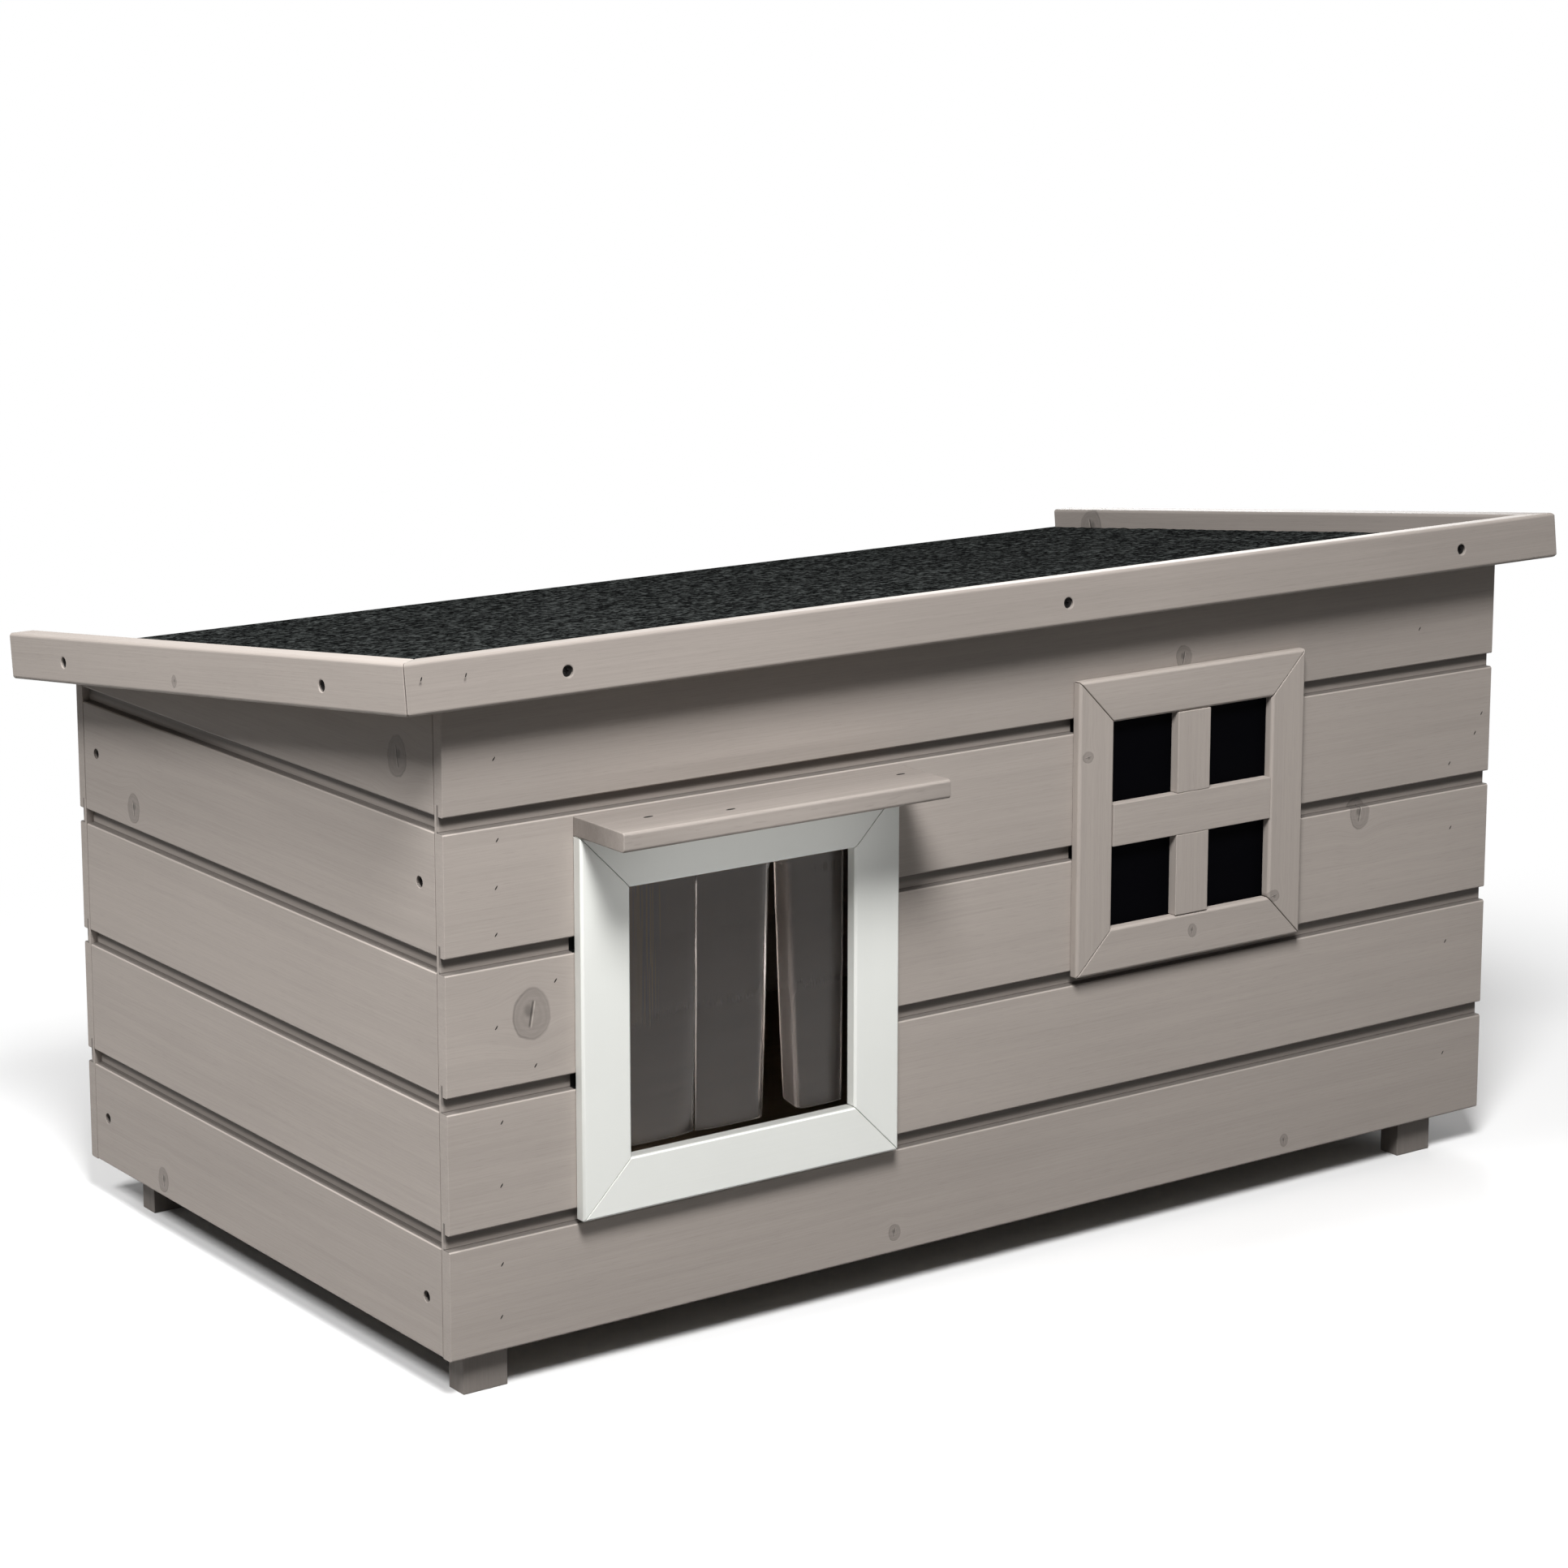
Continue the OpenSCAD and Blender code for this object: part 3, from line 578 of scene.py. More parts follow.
def on_slope(down, off):
    """A place on the roof, as the two coordinates that a material turned by the slope reads."""
    y, z = ROOF_START
    return (down + y * math.cos(SLOPE) - z * math.sin(SLOPE),
            off + y * math.sin(SLOPE) + z * math.cos(SLOPE))


def off_slope(down, off):
    """The same place as y and z of the frame. It works on numbers and on arrays."""
    y, z = ROOF_START
    return (y + down * math.cos(SLOPE) + off * math.sin(SLOPE),
            z - down * math.sin(SLOPE) + off * math.cos(SLOPE))


front_y, front_z = off_slope(FRONT_EDGE, SCREWS_UP)
front_holes = [(x, front_z, -front_y) for x in FRONT_SCREWS]
side_holes = [(*on_slope(down, SCREWS_UP), SIDE_EDGE) for down in SIDE_SCREWS_DOWN]
stained("fascia_front", ALONG_X, 31, EDGE_EASE, mitre_gap, tone=FRONT_TONE, holes=front_holes)
for seed, (side, (tone, down, off, radius)) in enumerate(SIDE_FASCIAS.items(), 32):
    stained(f"fascia_{side}", ALONG_SLOPE, seed, EDGE_EASE, mitre_gap, tone=tone, holes=side_holes,
            knots=[(*on_slope(down, off), radius)])
canopy_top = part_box("canopy")[1].z
stained("canopy", ACROSS_TOP, 34, EDGE_EASE, fitted_gap, contrast=1.5, tone=CANOPY_TONE,
        top=(canopy_top, CANOPY_TOP_PAINTED_SHADE))
CORNERS = ("front_left", "front_right", "rear_left", "rear_right")
# The feet's low tone is a painted shade, for the shadow under the walls.
for seed, corner in enumerate(CORNERS, 40):
    stained(f"foot_{corner}", ALONG_Z, seed, tone=FOOT_PAINTED_SHADE)
print("slope in degrees", round(math.degrees(SLOPE), 2), "screws", round(front_y, 4), round(front_z, 4))

# %% [markdown]
# ## Door frame
#
# Four boards with mitred corners, brushed with off-white satin paint. Paint fills
# the grain, so only a faint trace of it is left, and the paint is a little
# smoother than the stain. The rounded edges make the mitres show as fine lines.

# %% Door frame
PAINT = (236, 237, 232)
FRAME_SIDES = {"bottom": ALONG_X, "top": ALONG_X, "left": ALONG_Z, "right": ALONG_Z}
# The sill's top face gets a painted shade: how dark, and how far down its edge it reaches.
SILL_PAINTED_SHADE, SILL_DEPTH = 0.47, 0.0010


def paint(name, axes, seed, top=None):
    """Satin off-white paint: nearly even, with brush marks along the grain, and a painted shade on its top
    face when top is given.
    """
    material, tree, shader = new_material(name)
    vector = vector_calc(tree, "ADD", grain_vector(tree, axes), (0.41 * seed, 0.17 * seed, 0.0))
    brush = noise(tree, vector_calc(tree, "MULTIPLY", vector, (7.0, 420.0, 200.0)), 1.0, 2.0)
    light = between(tree, noise(tree, vector, 14.0, 2.0), 0.3, 0.7, 0.985, 1.0)
    if top:
        light = times(tree, light, top_painted_shade(tree, *top))
    fill(tree, shader, {"Base Color": scaled(tree, linear(*PAINT)[:3], light),
                        "Roughness": between(tree, brush, 0.2, 0.8, 0.36, 0.46),
                        "Normal": bump(tree, brush, 0.12, 0.0006)})
    return material


sill_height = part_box("door_frame_bottom")[1].z
for seed, (side, axes) in enumerate(FRAME_SIDES.items()):
    top = (sill_height, SILL_PAINTED_SHADE, SILL_DEPTH) if side == "bottom" else None
    eased(f"door_frame_{side}", paint(f"paint_{side}", axes, seed, top), width=0.00035,
          gaps=fitted_gap)
print("door frame boards", len(FRAME_SIDES), "sill height", round(sill_height, 4))

# %% [markdown]
# ## Tools for new meshes
#
# A new piece is a grid of points worked out with numpy. One helper closes the
# mesh and turns its faces outwards. Another joins rings of points into a closed
# tube, and a third joins two grids into a closed shell.

# %% Meshes from grids
def closed_mesh(name, points, faces):
    """Puts points and faces into a mesh, merges doubles at its seams, and turns its faces outwards."""
    mesh = bpy.data.meshes.new(name)
    mesh.from_pydata(points.reshape(-1, 3), [], faces)
    work = bmesh.new()
    work.from_mesh(mesh)
    bmesh.ops.remove_doubles(work, verts=work.verts, dist=1e-6)
    bmesh.ops.recalc_face_normals(work, faces=work.faces)
    work.to_mesh(mesh)
    work.free()
    mesh.validate()
    return put(name, mesh)


def grid_quads(number):
    """Quads between the neighbours of a grid of point numbers."""
    return np.stack([number[:-1, :-1], number[:-1, 1:], number[1:, 1:], number[1:, :-1]], -1).reshape(-1, 4)


def tube_mesh(name, points):
    """A closed tube from rings of points: quads between rings, and one flat face on each end."""
    rings, around = points.shape[:2]
    number = np.arange(rings * around).reshape(rings, around)
    quads = grid_quads(np.concatenate([number, number[:, :1]], axis=1))
    return closed_mesh(name, points, quads.tolist() + [number[0].tolist(), number[-1].tolist()])


def shell_mesh(name, outer, inner):
    """A closed shell between two grids: both grids as quads, and a strip of quads round the rim."""
    rows, columns = outer.shape[:2]
    number = np.arange(rows * columns).reshape(rows, columns)
    rim = np.concatenate([number[0], number[1:, -1], number[-1, -2::-1], number[-2:0:-1, 0]])
    after, beyond = np.roll(rim, -1), rows * columns
    sides = np.stack([rim, after, after + beyond, rim + beyond], -1)
    faces = np.concatenate([grid_quads(number), grid_quads(number + beyond), sides])
    return closed_mesh(name, np.stack([outer, inner]), faces)


def dress(piece, material, body, slot, *nodes, smooth_below=None):
    """Gives a new piece its material and body, and hides the nodes it stands for. The slot is not used."""
    piece.data.materials.append(material)
    if smooth_below:
        piece.data.shade_smooth()
        piece.data.set_sharp_from_angle(angle=math.radians(smooth_below))
    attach(piece, body)
    if nodes:
        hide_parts(*nodes)
    return piece


# %% [markdown]
# ## Window
#
# A mitred frame of stained wood, three bars in it and a black pane behind. The
# frame has one bar right across and two short uprights, so the bars are drawn as
# three pieces, and their butt joints show as fine lines. A bar is a profile with
# rounded corners carried along a straight path.

# %% Profile carried along a straight path
def planed_bar(name, low, high, axis, ease=0.0005, steps=3):
    """A bar between two corners with rounded edges. Its section is a rectangle whose
    corners are quarter circles. The section is carried along the axis, and shrinks by
    the same quarter circle at both ends, so the end edges are rounded as well."""
    low, high = np.array(low, float), np.array(high, float)
    order = [axis, (axis + 1) % 3, (axis + 2) % 3]
    turn = np.linspace(0, np.pi / 2, steps + 1)
    corner = np.concatenate([turn + k * np.pi / 2 for k in range(4)])
    signs = np.repeat(np.array([[1, 1], [-1, 1], [-1, -1], [1, -1]]), steps + 1, axis=0)
    middle, half = (low + high)[order[1:]] / 2, (high - low)[order[1:]] / 2
    radius = ease * np.concatenate([np.sin(turn), np.cos(turn)])[:, None, None]
    place = np.concatenate([low[axis] + ease * (1 - np.cos(turn)), high[axis] - ease * (1 - np.sin(turn))])
    ring = middle + signs * (half - ease) + radius * np.stack([np.cos(corner), np.sin(corner)], 1)
    points = np.empty((len(place), len(corner), 3))
    points[..., order[0]] = place[:, None]
    points[..., order[1]], points[..., order[2]] = ring[..., 0], ring[..., 1]
    return tube_mesh(name, points)


# %% Window frame, bars and pane
WINDOW_KNOTS = {"left": [(0.3657, 0.058, 0.0045)], "right": [(0.2367, 0.240, 0.0050)],
                "bottom": [(0.160, 0.2227, 0.0045)]}
for seed, (side, axes) in enumerate(FRAME_SIDES.items(), 50):
    stained(f"window_frame_{side}", axes, seed, 0.0006, fitted_gap, tone=0.99,
            knots=WINDOW_KNOTS.get(side, ()))

BAR, GAP = 0.031, 0.0002
bars_low, bars_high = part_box("window_bars")
left, front, bottom = bars_low
right, back, top = bars_high
x, z, half = (left + right) / 2, (bottom + top) / 2, BAR / 2
# Each bar: its lowest and highest corners, the axis along it, its grain, its knots, and its nodes.
BARS = {
    "across": ((left + GAP, front, z - half), (right - GAP, back, z + half), 0, ALONG_X,
               [(0.250, 0.316, 0.003)], ["window_bars"]),
    "above": ((x - half, front, z + half + GAP), (x + half, back, top - GAP), 2, ALONG_Z, [], []),
    "below": ((x - half, front, bottom + GAP), (x + half, back, z - half - GAP), 2, ALONG_Z, [], []),
}
for seed, (place, (low, high, axis, axes, knots, nodes)) in enumerate(BARS.items(), 55):
    finish = wood(f"stain_bar_{place}", axes, seed, STAIN, knots=knots)
    dress(planed_bar(f"window_bar_{place}", low, high, axis), finish, "cabin", "stained_wood", *nodes)
print("window bars", [round(v, 4) for v in bars_low], [round(v, 4) for v in bars_high])


def dark_sheet(name):
    """Near-black sheet plastic, dull, with slow clouds in its shade and in its gloss."""
    material, tree, shader = new_material(name)
    cloud = noise(tree, object_place(tree), 30.0, 2.0)
    fill(tree, shader, {"Base Color": blend_colours(tree, cloud, linear(2, 2, 4), linear(6, 6, 8)),
                        "Roughness": between(tree, cloud, 0.3, 0.7, 0.55, 0.65),
                        "Specular IOR Level": 0.01})
    return material


eased("window_pane", dark_sheet("black_pane"), width=0.0003)

# %% [markdown]
# ## Bare wood inside
#
# Posts, floor, bearers, roof deck and battens are never stained: they are pale
# pine and poplar plywood. The same wood function serves, with a warmer colour
# and a stronger grain, because no stain hides it.

# %% Bare wood
PINE, PLYWOOD = (200, 178, 148), (192, 172, 144)
# The floor panel's low tone is a painted shade, for the dark inside seen through the doorway.
PINE_CONTRAST, PLY_CONTRAST, FLOOR_PAINTED_SHADE = 2.6, 2.4, 0.70
POSTS = [f"post_{place}" for place in (*CORNERS, "front_middle", "rear_middle")]
BARE = {**dict.fromkeys(POSTS, ALONG_Z), "floor_bearer_front": ALONG_X, "floor_bearer_rear": ALONG_X,
        "roof_battens": ALONG_SLOPE}
for seed, (node, axes) in enumerate(BARE.items(), 60):
    eased(node, wood(f"pine_{node}", axes, seed, PINE, contrast=PINE_CONTRAST))
floor_ply = wood("ply_floor", ACROSS_TOP, 70, PLYWOOD, contrast=PLY_CONTRAST, tone=FLOOR_PAINTED_SHADE)
eased("floor_panel", floor_ply)
deck_ply = wood("ply_deck", FLAT_ON_SLOPE, 71, PLYWOOD, contrast=PLY_CONTRAST)
eased("roof_deck", deck_ply, width=0.0003)
print("bare pieces", len(BARE) + 2)

# %% [markdown]
# ## Roofing felt
#
# Felt is bitumen board with crushed slate rolled into it. Here it is one sheet:
# it lies on the deck and folds down over the back edge, with a small radius.
# Seen nearly along the roof, its lumps hide each other and show as short dark
# and light dashes. A bump map can't do that, so the lumps are in the mesh.

# %% Felt sheet
def lumps(rows, columns, seed=7, weight=1.6, spread=0.6):
    """Smooth random heights from 0 to 1: even random numbers, each averaged with its
    neighbours one way and the other, then stretched to the full range."""
    heights = np.random.default_rng(seed).random((rows + 2, columns + 2))
    for _ in range(2):
        heights = ((heights[:-2] + weight * heights[1:-1] + heights[2:]) / (weight + 2)).T
    return np.clip((heights - 0.5) / spread + 0.5, 0, 1)


def felt_sheet(name, across=380, down=225, bend=5):
    """A sheet with thickness. Its profile runs down the slope and turns down by a quarter
    circle at the back. The profile is carried across the roof. Points on the upper side
    are lowered by random lumps and by a slow sine wave."""
    half_width, front, back = 0.489, -0.0053, 0.553745
    top, under, fold_end = 0.0138, 0.0123, 0.0003
    lump_height, wave_height = 0.0009, 0.0003
    thick = top - under
    upper = np.linspace(front, back - thick, down)
    turn = np.linspace(0, np.pi / 2, bend + 1)[1:]
    lower = np.linspace(back - thick, front, 8)
    s = np.concatenate([upper, back - thick + thick * np.sin(turn), [back, back - thick], lower])
    k = np.concatenate([np.full(down, top), top - thick + thick * np.cos(turn), [fold_end, fold_end],
                        np.full(8, under)])
    x = np.linspace(-half_width, half_width, across)
    grid_x, grid_s = np.meshgrid(x, s, indexing="ij")
    grid_k = np.broadcast_to(k, grid_x.shape).copy()
    wave = 0.5 + 0.5 * np.sin(17 * grid_x + 9 * grid_s) * np.sin(11 * grid_x - 23 * grid_s)
    grid_k[:, :down] -= wave_height * wave[:, :down] + lump_height * lumps(across, down)
    return tube_mesh(name, np.stack([grid_x, *off_slope(grid_s, grid_k)], -1))


def felt_finish():
    """Black mineral felt: bitumen nearly black, with blobs of grey slate about 5 mm wide
    and single chips of 2 mm, each with its own grey."""
    material, tree, shader = new_material("mineral_felt")
    here = grain_vector(tree, FLAT_ON_SLOPE)
    chips = add(tree, "TexVoronoi", {"Vector": here, "Scale": 420.0}).node.outputs
    grey = add(tree, "SeparateColor", {0: chips["Color"]})
    blobs = between(tree, noise(tree, here, 190.0, 2.0, 0.6), 0.46, 0.66)
    cloud = between(tree, noise(tree, here, 7.0, 3.0), 0.3, 0.7, 0.85, 1.1)
    light = calc(tree, "ADD", times(tree, blobs, 0.65), times(tree, between(tree, grey, 0.5, 1.0), 0.35))
    colour = blend_colours(tree, times(tree, light, cloud), linear(11, 12, 12), linear(71, 74, 73))
    height = calc(tree, "ADD", blobs, times(tree, chips["Distance"], -0.5))
    fill(tree, shader, {"Base Color": colour, "Roughness": 0.9, "Specular IOR Level": 0.0,
                        "Normal": bump(tree, height, 0.8, 0.0010)})
    return material


felt = dress(felt_sheet("roof_felt_sheet"), felt_finish(), "roof", "felt", "roof_felt", smooth_below=50)
print("felt points", len(felt.data.vertices), "faces", len(felt.data.polygons))

# %% [markdown]
# ## Door strips
#
# Clear soft plastic, two millimetres thick, hung from a steel rod by a loop at
# the top of each strip. The plastic comes off a roll and keeps some curl: its
# edges turn inwards, more and more towards the bottom. Bending a flat strip
# keeps its width, so the section of a strip is drawn by its heading: the angle
# grows with the distance past the flat part, and the place is the running sum
# of the heading's cosine and sine.

# %% Strips
rod_low, rod_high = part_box("strip_rod")
ROD_Y, ROD_Z = (rod_low.y + rod_high.y) / 2, (rod_low.z + rod_high.z) / 2
LOOP_RADIUS, LOOP_WALL, STRIP_WALL = 0.002725, 0.00135, 0.002
LOOP_FROM, LOOP_TO, BEND_DEPTH, BEND_PULL = -70, 230, 0.0065, 0.006
# How fast the wall and the curl grow to their full size below the loop.
WALL_GROWTH, CURL_GROWTH = 20, 25
# The heading from which the plastic is milky, and how much more makes it fully so, in radians.
MILKY_FROM, MILKY_OVER = 0.9, 0.6


def strip_profile(bottom, rows=64):
    """The strip's middle line from the side: round the rod from behind, over the top and
    down the front, through a smooth bend (a cubic between two places and two headings),
    and straight down. Gives offsets in y and z, normals, the depth from 0 to 1, and the
    wall at each point."""
    turn = np.radians(np.linspace(LOOP_FROM, LOOP_TO, 41))
    ring = LOOP_RADIUS * np.stack([np.cos(turn), np.sin(turn)], 1)
    t = np.linspace(0, 1, 9)[1:, None]
    start, end = ring[-1], np.array([0, -BEND_DEPTH])
    heading = BEND_PULL * np.array([-np.sin(turn[-1]), np.cos(turn[-1])])
    fall = np.array([0, -BEND_PULL])
    bend = ((2 * t**3 - 3 * t**2 + 1) * start + (t**3 - 2 * t**2 + t) * heading
            + (3 * t**2 - 2 * t**3) * end + (t**3 - t**2) * fall)
    straight = np.stack([np.zeros(rows), np.linspace(-BEND_DEPTH, bottom - ROD_Z, rows + 1)[1:]], 1)
    line = np.concatenate([ring, bend, straight])
    tangent = np.gradient(line, axis=0)
    tangent /= np.linalg.norm(tangent, axis=1, keepdims=True)
    normal = np.stack([-tangent[:, 1], tangent[:, 0]], 1)
    depth = np.clip(-(line[:, 1] + BEND_DEPTH) / (ROD_Z - BEND_DEPTH - bottom), 0, 1)
    depth[:len(ring)] = 0
    wall = LOOP_WALL + (STRIP_WALL - LOOP_WALL) * np.clip(depth * WALL_GROWTH, 0, 1)
    return line, normal, depth, wall


def door_strip(name, node, left_curl, right_curl, columns=57):
    """A curtain strip. A curl is (angle at the top, angle at the bottom, reach at the top,
    reach at the bottom, width of the bend). The middle of the strip stays in its place."""
    low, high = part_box(node)
    line, normal, depth, wall = strip_profile(low.z)
    width = high.x - low.x
    place = np.linspace(0, width, columns)
    between_places = (place[1:] + place[:-1]) / 2
    heading = np.zeros((len(line), columns - 1))
    grown = np.minimum(depth * CURL_GROWTH, 1)[:, None]
    for (top_angle, low_angle, top_reach, low_reach, bend), sign in ((left_curl, -1), (right_curl, 1)):
        from_edge = between_places if sign < 0 else width - between_places
        reach = (top_reach + (low_reach - top_reach) * depth)[:, None]
        angle = np.radians(top_angle + (low_angle - top_angle) * depth)[:, None]
        share = np.clip((reach - from_edge) / bend, 0, 1)
        heading += sign * grown * angle * share * share * (3 - 2 * share)
    inner = (heading[:, 1:] + heading[:, :-1]) / 2
    turned = np.concatenate([heading[:, :1], inner, heading[:, -1:]], axis=1)
    step = width / (columns - 1)
    zero = np.zeros((len(line), 1))
    x, y = (np.concatenate([zero, np.cumsum(part(heading), axis=1) * step], axis=1)
            for part in (np.cos, np.sin))
    x += (low.x + high.x) / 2 - x[:, columns // 2, None]
    y += ROD_Y + line[:, :1] - y[:, columns // 2, None]
    z = np.broadcast_to(ROD_Z + line[:, 1:], x.shape)
    off = np.stack([-np.sin(turned) * normal[:, :1], np.cos(turned) * normal[:, :1],
                    np.broadcast_to(normal[:, 1:], x.shape)], -1) * (wall / 2)[:, None, None]
    middle = np.stack([x, y, z], -1)
    piece = shell_mesh(name, middle - off, middle + off)
    folded = np.clip((np.abs(turned) - MILKY_FROM) / MILKY_OVER, 0, 1).ravel()
    store = piece.data.attributes.new("folded", "FLOAT", "POINT")
    store.data.foreach_set("value", np.tile(folded, 2).astype(np.float32))
    return piece


def clear_plastic():
    """Clear soft plastic: light goes through, bent a little, with fine streaks. Where the
    strip is folded hard, the plastic has turned milky."""
    material, tree, shader = new_material("clear_plastic")
    streak = noise(tree, vector_calc(tree, "MULTIPLY", object_place(tree), (140.0, 30.0, 5.0)), 1.0, 2.0)
    folded = add(tree, "Attribute", out="Fac", attribute_name="folded")
    fill(tree, shader, {"Base Color": (0.92, 0.84, 0.79, 1.0), "IOR": 1.30,
                        "Transmission Weight": between(tree, folded, 0, 1, 0.985, 0.78, "LINEAR"),
                        "Roughness": between(tree, streak, 0.3, 0.7, 0.03, 0.10),
                        "Normal": bump(tree, streak, 0.25, 0.002)})
    return material


CLEAR = clear_plastic()
# Each strip: its node, then the curl of its left edge and of its right edge.
STRIPS = {"left": ("strip_1", (0, 12, 0.012, 0.018, 0.018), (0, 20, 0.014, 0.022, 0.022)),
          "middle": ("strip_2", (0, 16, 0.012, 0.018, 0.018), (30, 55, 0.010, 0.014, 0.012)),
          "right": ("strip_3", (92, 104, 0.022, 0.031, 0.011), (0, 12, 0.012, 0.018, 0.018))}
for side, (node, left_curl, right_curl) in STRIPS.items():
    strip = door_strip(f"strip_{side}_sheet", node, left_curl, right_curl)
    dress(strip, CLEAR, NODES[node]["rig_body"], "clear_strip", node, smooth_below=40)

# %% [markdown]
# ## Metal
#
# The rod and the hinges are zinc-plated steel. The screws are blackened steel,
# driven below the surface of the wood, so that they read as dark round holes.

# %% Metal finishes
def metal(name, colour, roughness, metallic=1.0, specular=0.5):
    """Plated steel: a metal with fine, uneven scratches in its roughness."""
    material, tree, shader = new_material(name)
    here = object_place(tree)
    scratch = noise(tree, vector_calc(tree, "MULTIPLY", here, (900.0, 900.0, 120.0)), 1.0, 3.0)
    light = between(tree, noise(tree, here, 60.0, 2.0), 0.3, 0.7, 0.85, 1.05)
    rough = between(tree, scratch, 0.25, 0.75, roughness - 0.07, roughness + 0.08)
    fill(tree, shader, {"Base Color": scaled(tree, linear(*colour)[:3], light), "Metallic": metallic,
                        "Specular IOR Level": specular, "Roughness": rough,
                        "Normal": bump(tree, scratch, 0.1, 0.0003)})
    return material


ZINC = metal("zinc_steel", (196, 199, 202), 0.32)
BLACKENED = metal("blackened_steel", (22, 21, 21), 0.60, metallic=0.0, specular=0.1)
PLATED = ("strip_rod", "hinge_wall_leaves", "hinge_roof_leaves", "hinge_pins")
SCREWS = {"side_screws": BLACKENED, "fascia_screws": BLACKENED, "hinge_wall_screws": ZINC,
          "hinge_roof_screws": ZINC}
for node in PLATED:
    eased(node, ZINC, width=0.00015)
for node, finish in SCREWS.items():
    NODES[node].material_slots[0].material = finish
print("metal pieces", len(PLATED) + len(SCREWS))

# %% [markdown]
# ## Panel pins
#
# The boards and the canopy are held by thin pins from a nail gun. Their small
# heads are driven flush and show as short dark marks. Each head is a ball
# squeezed to a flat oval, and all of them are computed in one array.

# %% Panel pins
def pin_heads(name, centres, long_way, off_way, long_half, wide_half, high_half=0.00018):
    """Flat ovals: a unit ball from longitude and latitude, squeezed along three axes at
    right angles, and set on every centre."""
    long_way, off_way = Vector(long_way).normalized(), Vector(off_way).normalized()
    frame_axes = np.array([long_way * long_half, off_way.cross(long_way) * wide_half, off_way * high_half])
    around, up = np.meshgrid(np.linspace(0, 2 * np.pi, 11), np.linspace(-np.pi / 2, np.pi / 2, 6))
    ball = np.stack([np.cos(around) * np.cos(up), np.sin(around) * np.cos(up), np.sin(up)], -1)
    points = np.array(centres)[:, None, None, :] + ball @ frame_axes
    number = np.arange(points[..., 0].size).reshape(points.shape[:3])
    faces = np.concatenate([grid_quads(one) for one in number])
    return closed_mesh(name, points, faces)


def pin_finish():
    """Dull dark steel with a trace of stain over it."""
    material, tree, shader = new_material("pin_steel")
    patch = noise(tree, object_place(tree), 900.0, 2.0)
    fill(tree, shader, {"Base Color": blend_colours(tree, patch, linear(14, 12, 12), linear(46, 42, 40)),
                        "Roughness": 0.7, "Specular IOR Level": 0.2})
    return material


PIN = pin_finish()
# Places as x and z; on the canopy as x and the distance in front of the wall.
FRONT_PINS = [(-0.4313, 0.4271), (-0.4295, 0.3735), (-0.4307, 0.3422), (-0.4313, 0.3110), (-0.4320, 0.2490),
              (-0.4288, 0.1846), (-0.4297, 0.1418), (-0.4300, 0.0880), (-0.4310, 0.0520), (-0.4024, 0.2185),
              (-0.3865, 0.2732), (0.3912, 0.4207), (0.4606, 0.3468), (0.4540, 0.3321), (0.4275, 0.3115),
              (0.4307, 0.2603), (0.4290, 0.1700), (0.4300, 0.0800)]
FASCIA_PINS = [(-0.4669, 0.4903), (-0.4992, 0.4915)]
CANOPY_PINS = [(-0.334, -0.0315), (-0.2785, -0.0455), (-0.1254, -0.0282)]
wall_front, roof_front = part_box("front_board_1")[0].y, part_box("fascia_front")[0].y
# Each group: its body, its centres, the way its heads are long, the way they look, and half sizes.
PINS = {
    "front": ("cabin", [(x, wall_front, z) for x, z in FRONT_PINS], (0.6, 0, 0.8), (0, -1, 0),
              0.0018, 0.0005),
    "canopy": ("cabin", [(x, wall_front + y, canopy_top) for x, y in CANOPY_PINS], (1, 0.08, 0), (0, 0, 1),
               0.0042, 0.0015),
    "fascia": ("roof", [(x, roof_front, z) for x, z in FASCIA_PINS], (0.3, 0, 0.95), (0, -1, 0),
               0.0016, 0.0005),
}
for place, (body, centres, *shape) in PINS.items():
    heads = pin_heads(f"{place}_pins", centres, *shape)
    dress(heads, PIN, body, "steel", smooth_below=60)
    print(heads.name, len(centres))

# %% [markdown]
# ## Floor of the studio and its light
#
# The house stands on a pale floor. A soft lamp stands in front of it on the left
# and high up, a weaker one lights the left wall, and a third lights the back and
# the right wall from low down. A narrow spot reaches under the canopy, where the
# first lamp leaves the door frame too dark. An even glow comes from all round.
# The floor fades to the white of the background away from the house, and keeps
# the house's shadow near it.

# %% Studio
# Soft lamps: a place, the point that it faces, a width, and a power.
SOFT_LAMPS = {"key": ((-0.86, -1.41, 2.20), (-0.1, -0.1, 0.25), 0.70, 84.0),
              "side": ((-2.0, 0.1, 2.25), (-0.3, 0.0, 0.25), 0.75, 52.0),
              "back": ((1.9, 1.9, 1.0), (0.1, 0.05, 0.25), 0.9, 36.0)}
SPOT_PLACE, SPOT_TARGET, SPOT_OVAL = (-0.40, -0.95, 0.12), (-0.245, -0.256, 0.338), (1.15, 0.60, 1.0)
SPOT_POWER, SPOT_ANGLE, SPOT_RADIUS = 6.2, math.radians(22), 0.03
# How light the glow is, and the floor: as other things are lit by it, and as it is seen.
GLOW, FLOOR_BOUNCE, FLOOR_SEEN = 0.13, 0.12, 0.86
FLOOR_HALF, HOUSE_HALF, FADE = 40.0, (0.50, 0.30, 0.0), 0.9


def hang(name, lamp, place, target):
    """Hangs a lamp in its place, so that it faces a point and the camera doesn't see it."""
    holder = put(name, lamp, place, Vector(target) - Vector(place))
    holder.visible_camera = False
    return holder


def seen_by(tree, *rays):
    """1 for rays of these kinds, 0 for all others."""
    path = tree.nodes.new("ShaderNodeLightPath").outputs
    seen = path[rays[0]]
    for ray in rays[1:]:
        seen = calc(tree, "MAXIMUM", seen, path[ray])
    return seen


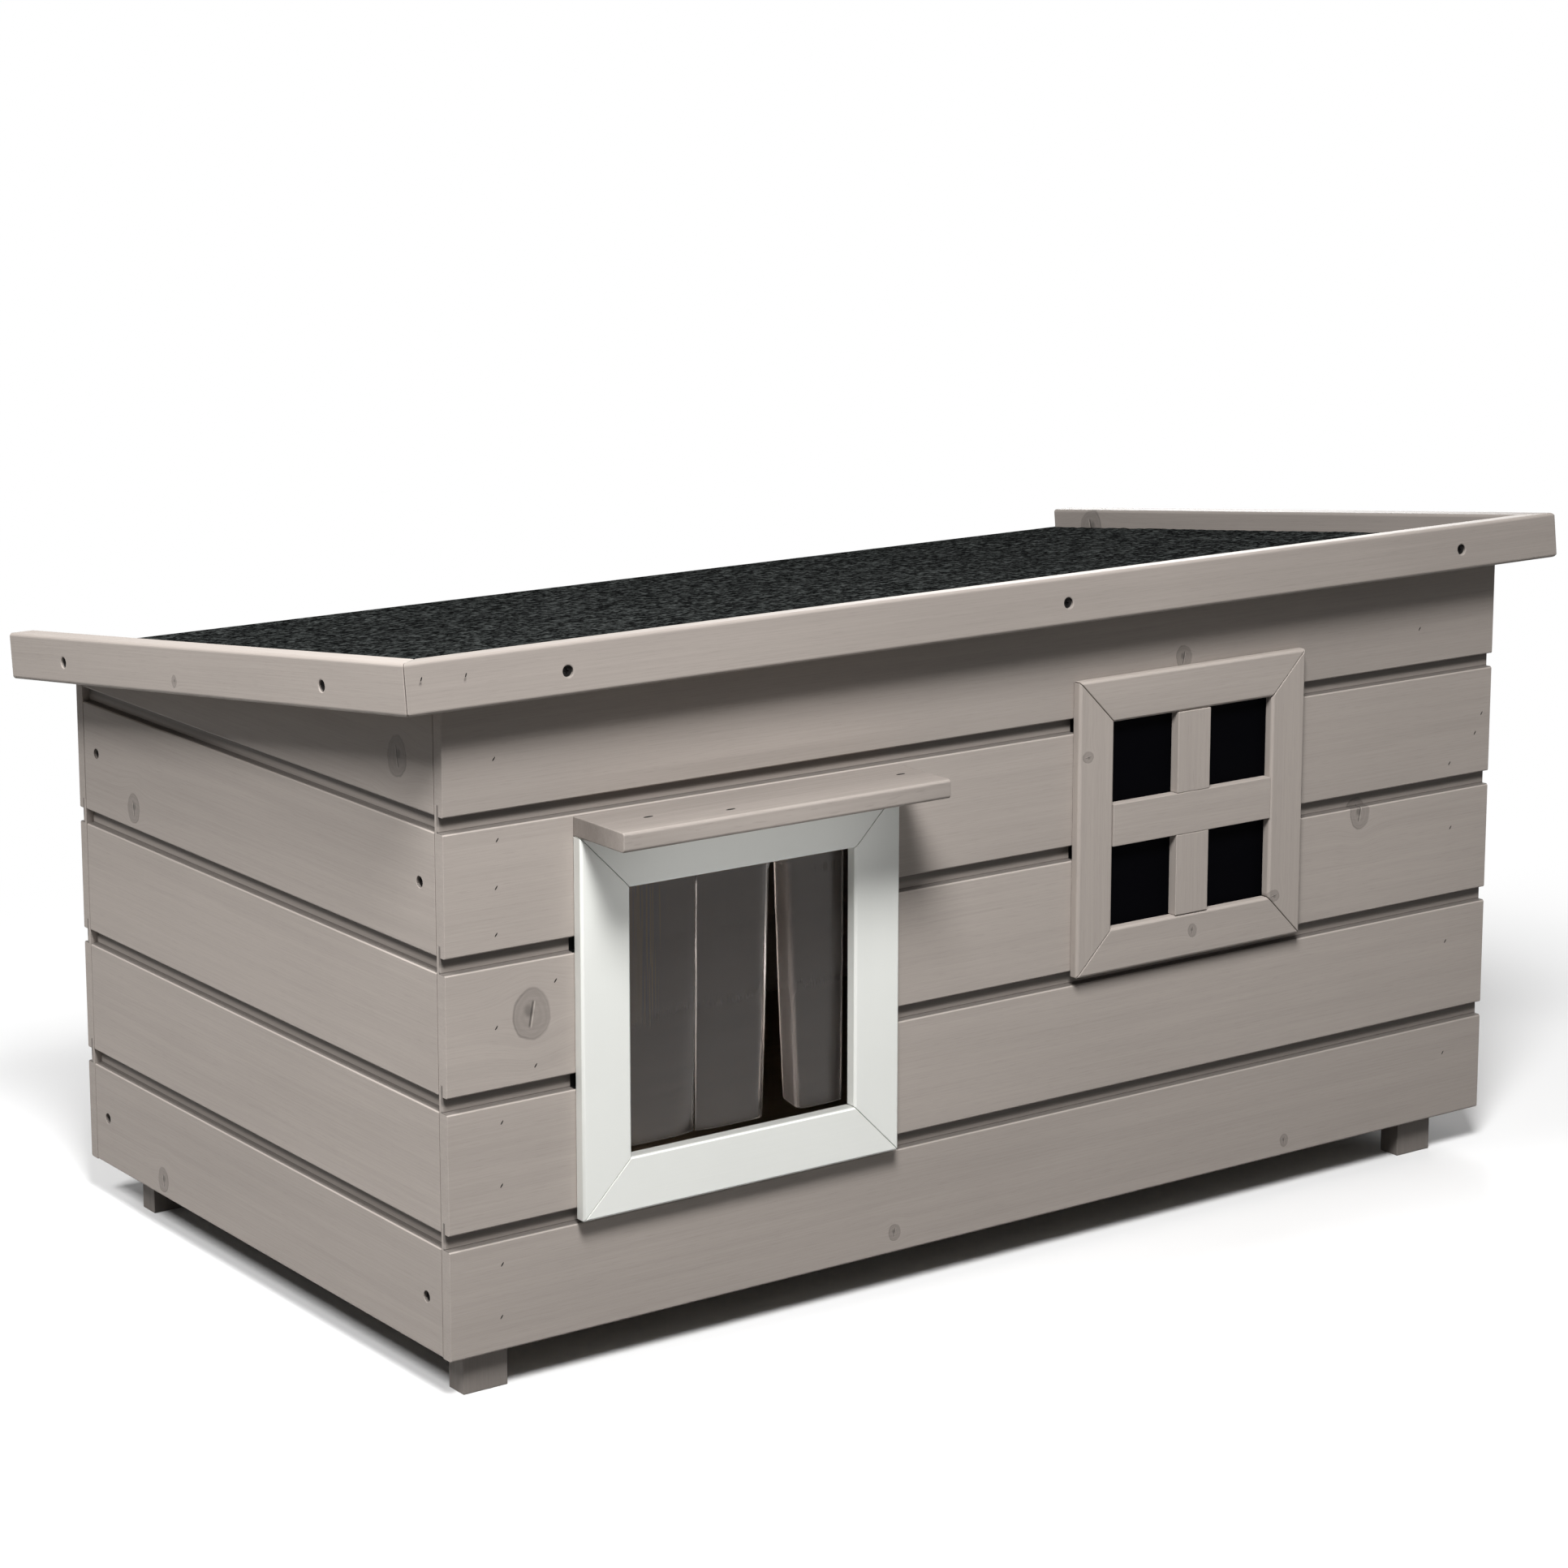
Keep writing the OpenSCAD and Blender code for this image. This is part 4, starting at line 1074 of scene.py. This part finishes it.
def grey(value):
    """An even grey as a colour with its opacity."""
    return (value, value, value, 1.0)


for name, (place, target, size, power) in SOFT_LAMPS.items():
    lamp = bpy.data.lights.new(name, "AREA")
    lamp.shape, lamp.size, lamp.energy = "SQUARE", size, power
    hang(name, lamp, place, target)
spot = bpy.data.lights.new("under_canopy", "SPOT")
spot.energy, spot.spot_size, spot.spot_blend, spot.shadow_soft_size = SPOT_POWER, SPOT_ANGLE, 1.0, SPOT_RADIUS
holder = hang("under_canopy", spot, SPOT_PLACE, SPOT_TARGET)
holder.scale = SPOT_OVAL
holder.visible_glossy = holder.visible_transmission = False

world = bpy.data.worlds.new("studio")
bpy.context.scene.world = world
world.use_nodes = True
tree = world.node_tree
seen = seen_by(tree, "Is Camera Ray", "Is Transmission Ray", "Is Glossy Ray")
glow = blend_colours(tree, seen, grey(GLOW), grey(1.0))
tree.links.new(glow, tree.nodes["Background"].inputs["Color"])

floor_mesh = bpy.data.meshes.new("floor")
floor_corners = [(x * FLOOR_HALF, y * FLOOR_HALF, 0) for x, y in ((-1, -1), (1, -1), (1, 1), (-1, 1))]
floor_mesh.from_pydata(floor_corners, [], [(0, 1, 2, 3)])
floor = put("floor", floor_mesh)
material, tree, shader = new_material("pale_floor")
beyond = vector_calc(tree, "SUBTRACT", vector_calc(tree, "ABSOLUTE", object_place(tree)), HOUSE_HALF)
away = length(tree, vector_calc(tree, "MAXIMUM", beyond, (0.0, 0.0, 0.0)))
seen = seen_by(tree, "Is Camera Ray", "Is Glossy Ray")
fill(tree, shader, {"Base Color": blend_colours(tree, seen, grey(FLOOR_BOUNCE), grey(FLOOR_SEEN)),
                    "Roughness": 0.8, "Specular IOR Level": 0.1})
white = add(tree, "Emission", {"Color": grey(1.0), "Strength": 1.0})
share = times(tree, between(tree, away, 0.0, FADE), seen)
mixed = add(tree, "MixShader", {0: share, 1: shader.outputs[0], 2: white})
tree.links.new(mixed, tree.nodes["Material Output"].inputs["Surface"])
floor_mesh.materials.append(material)
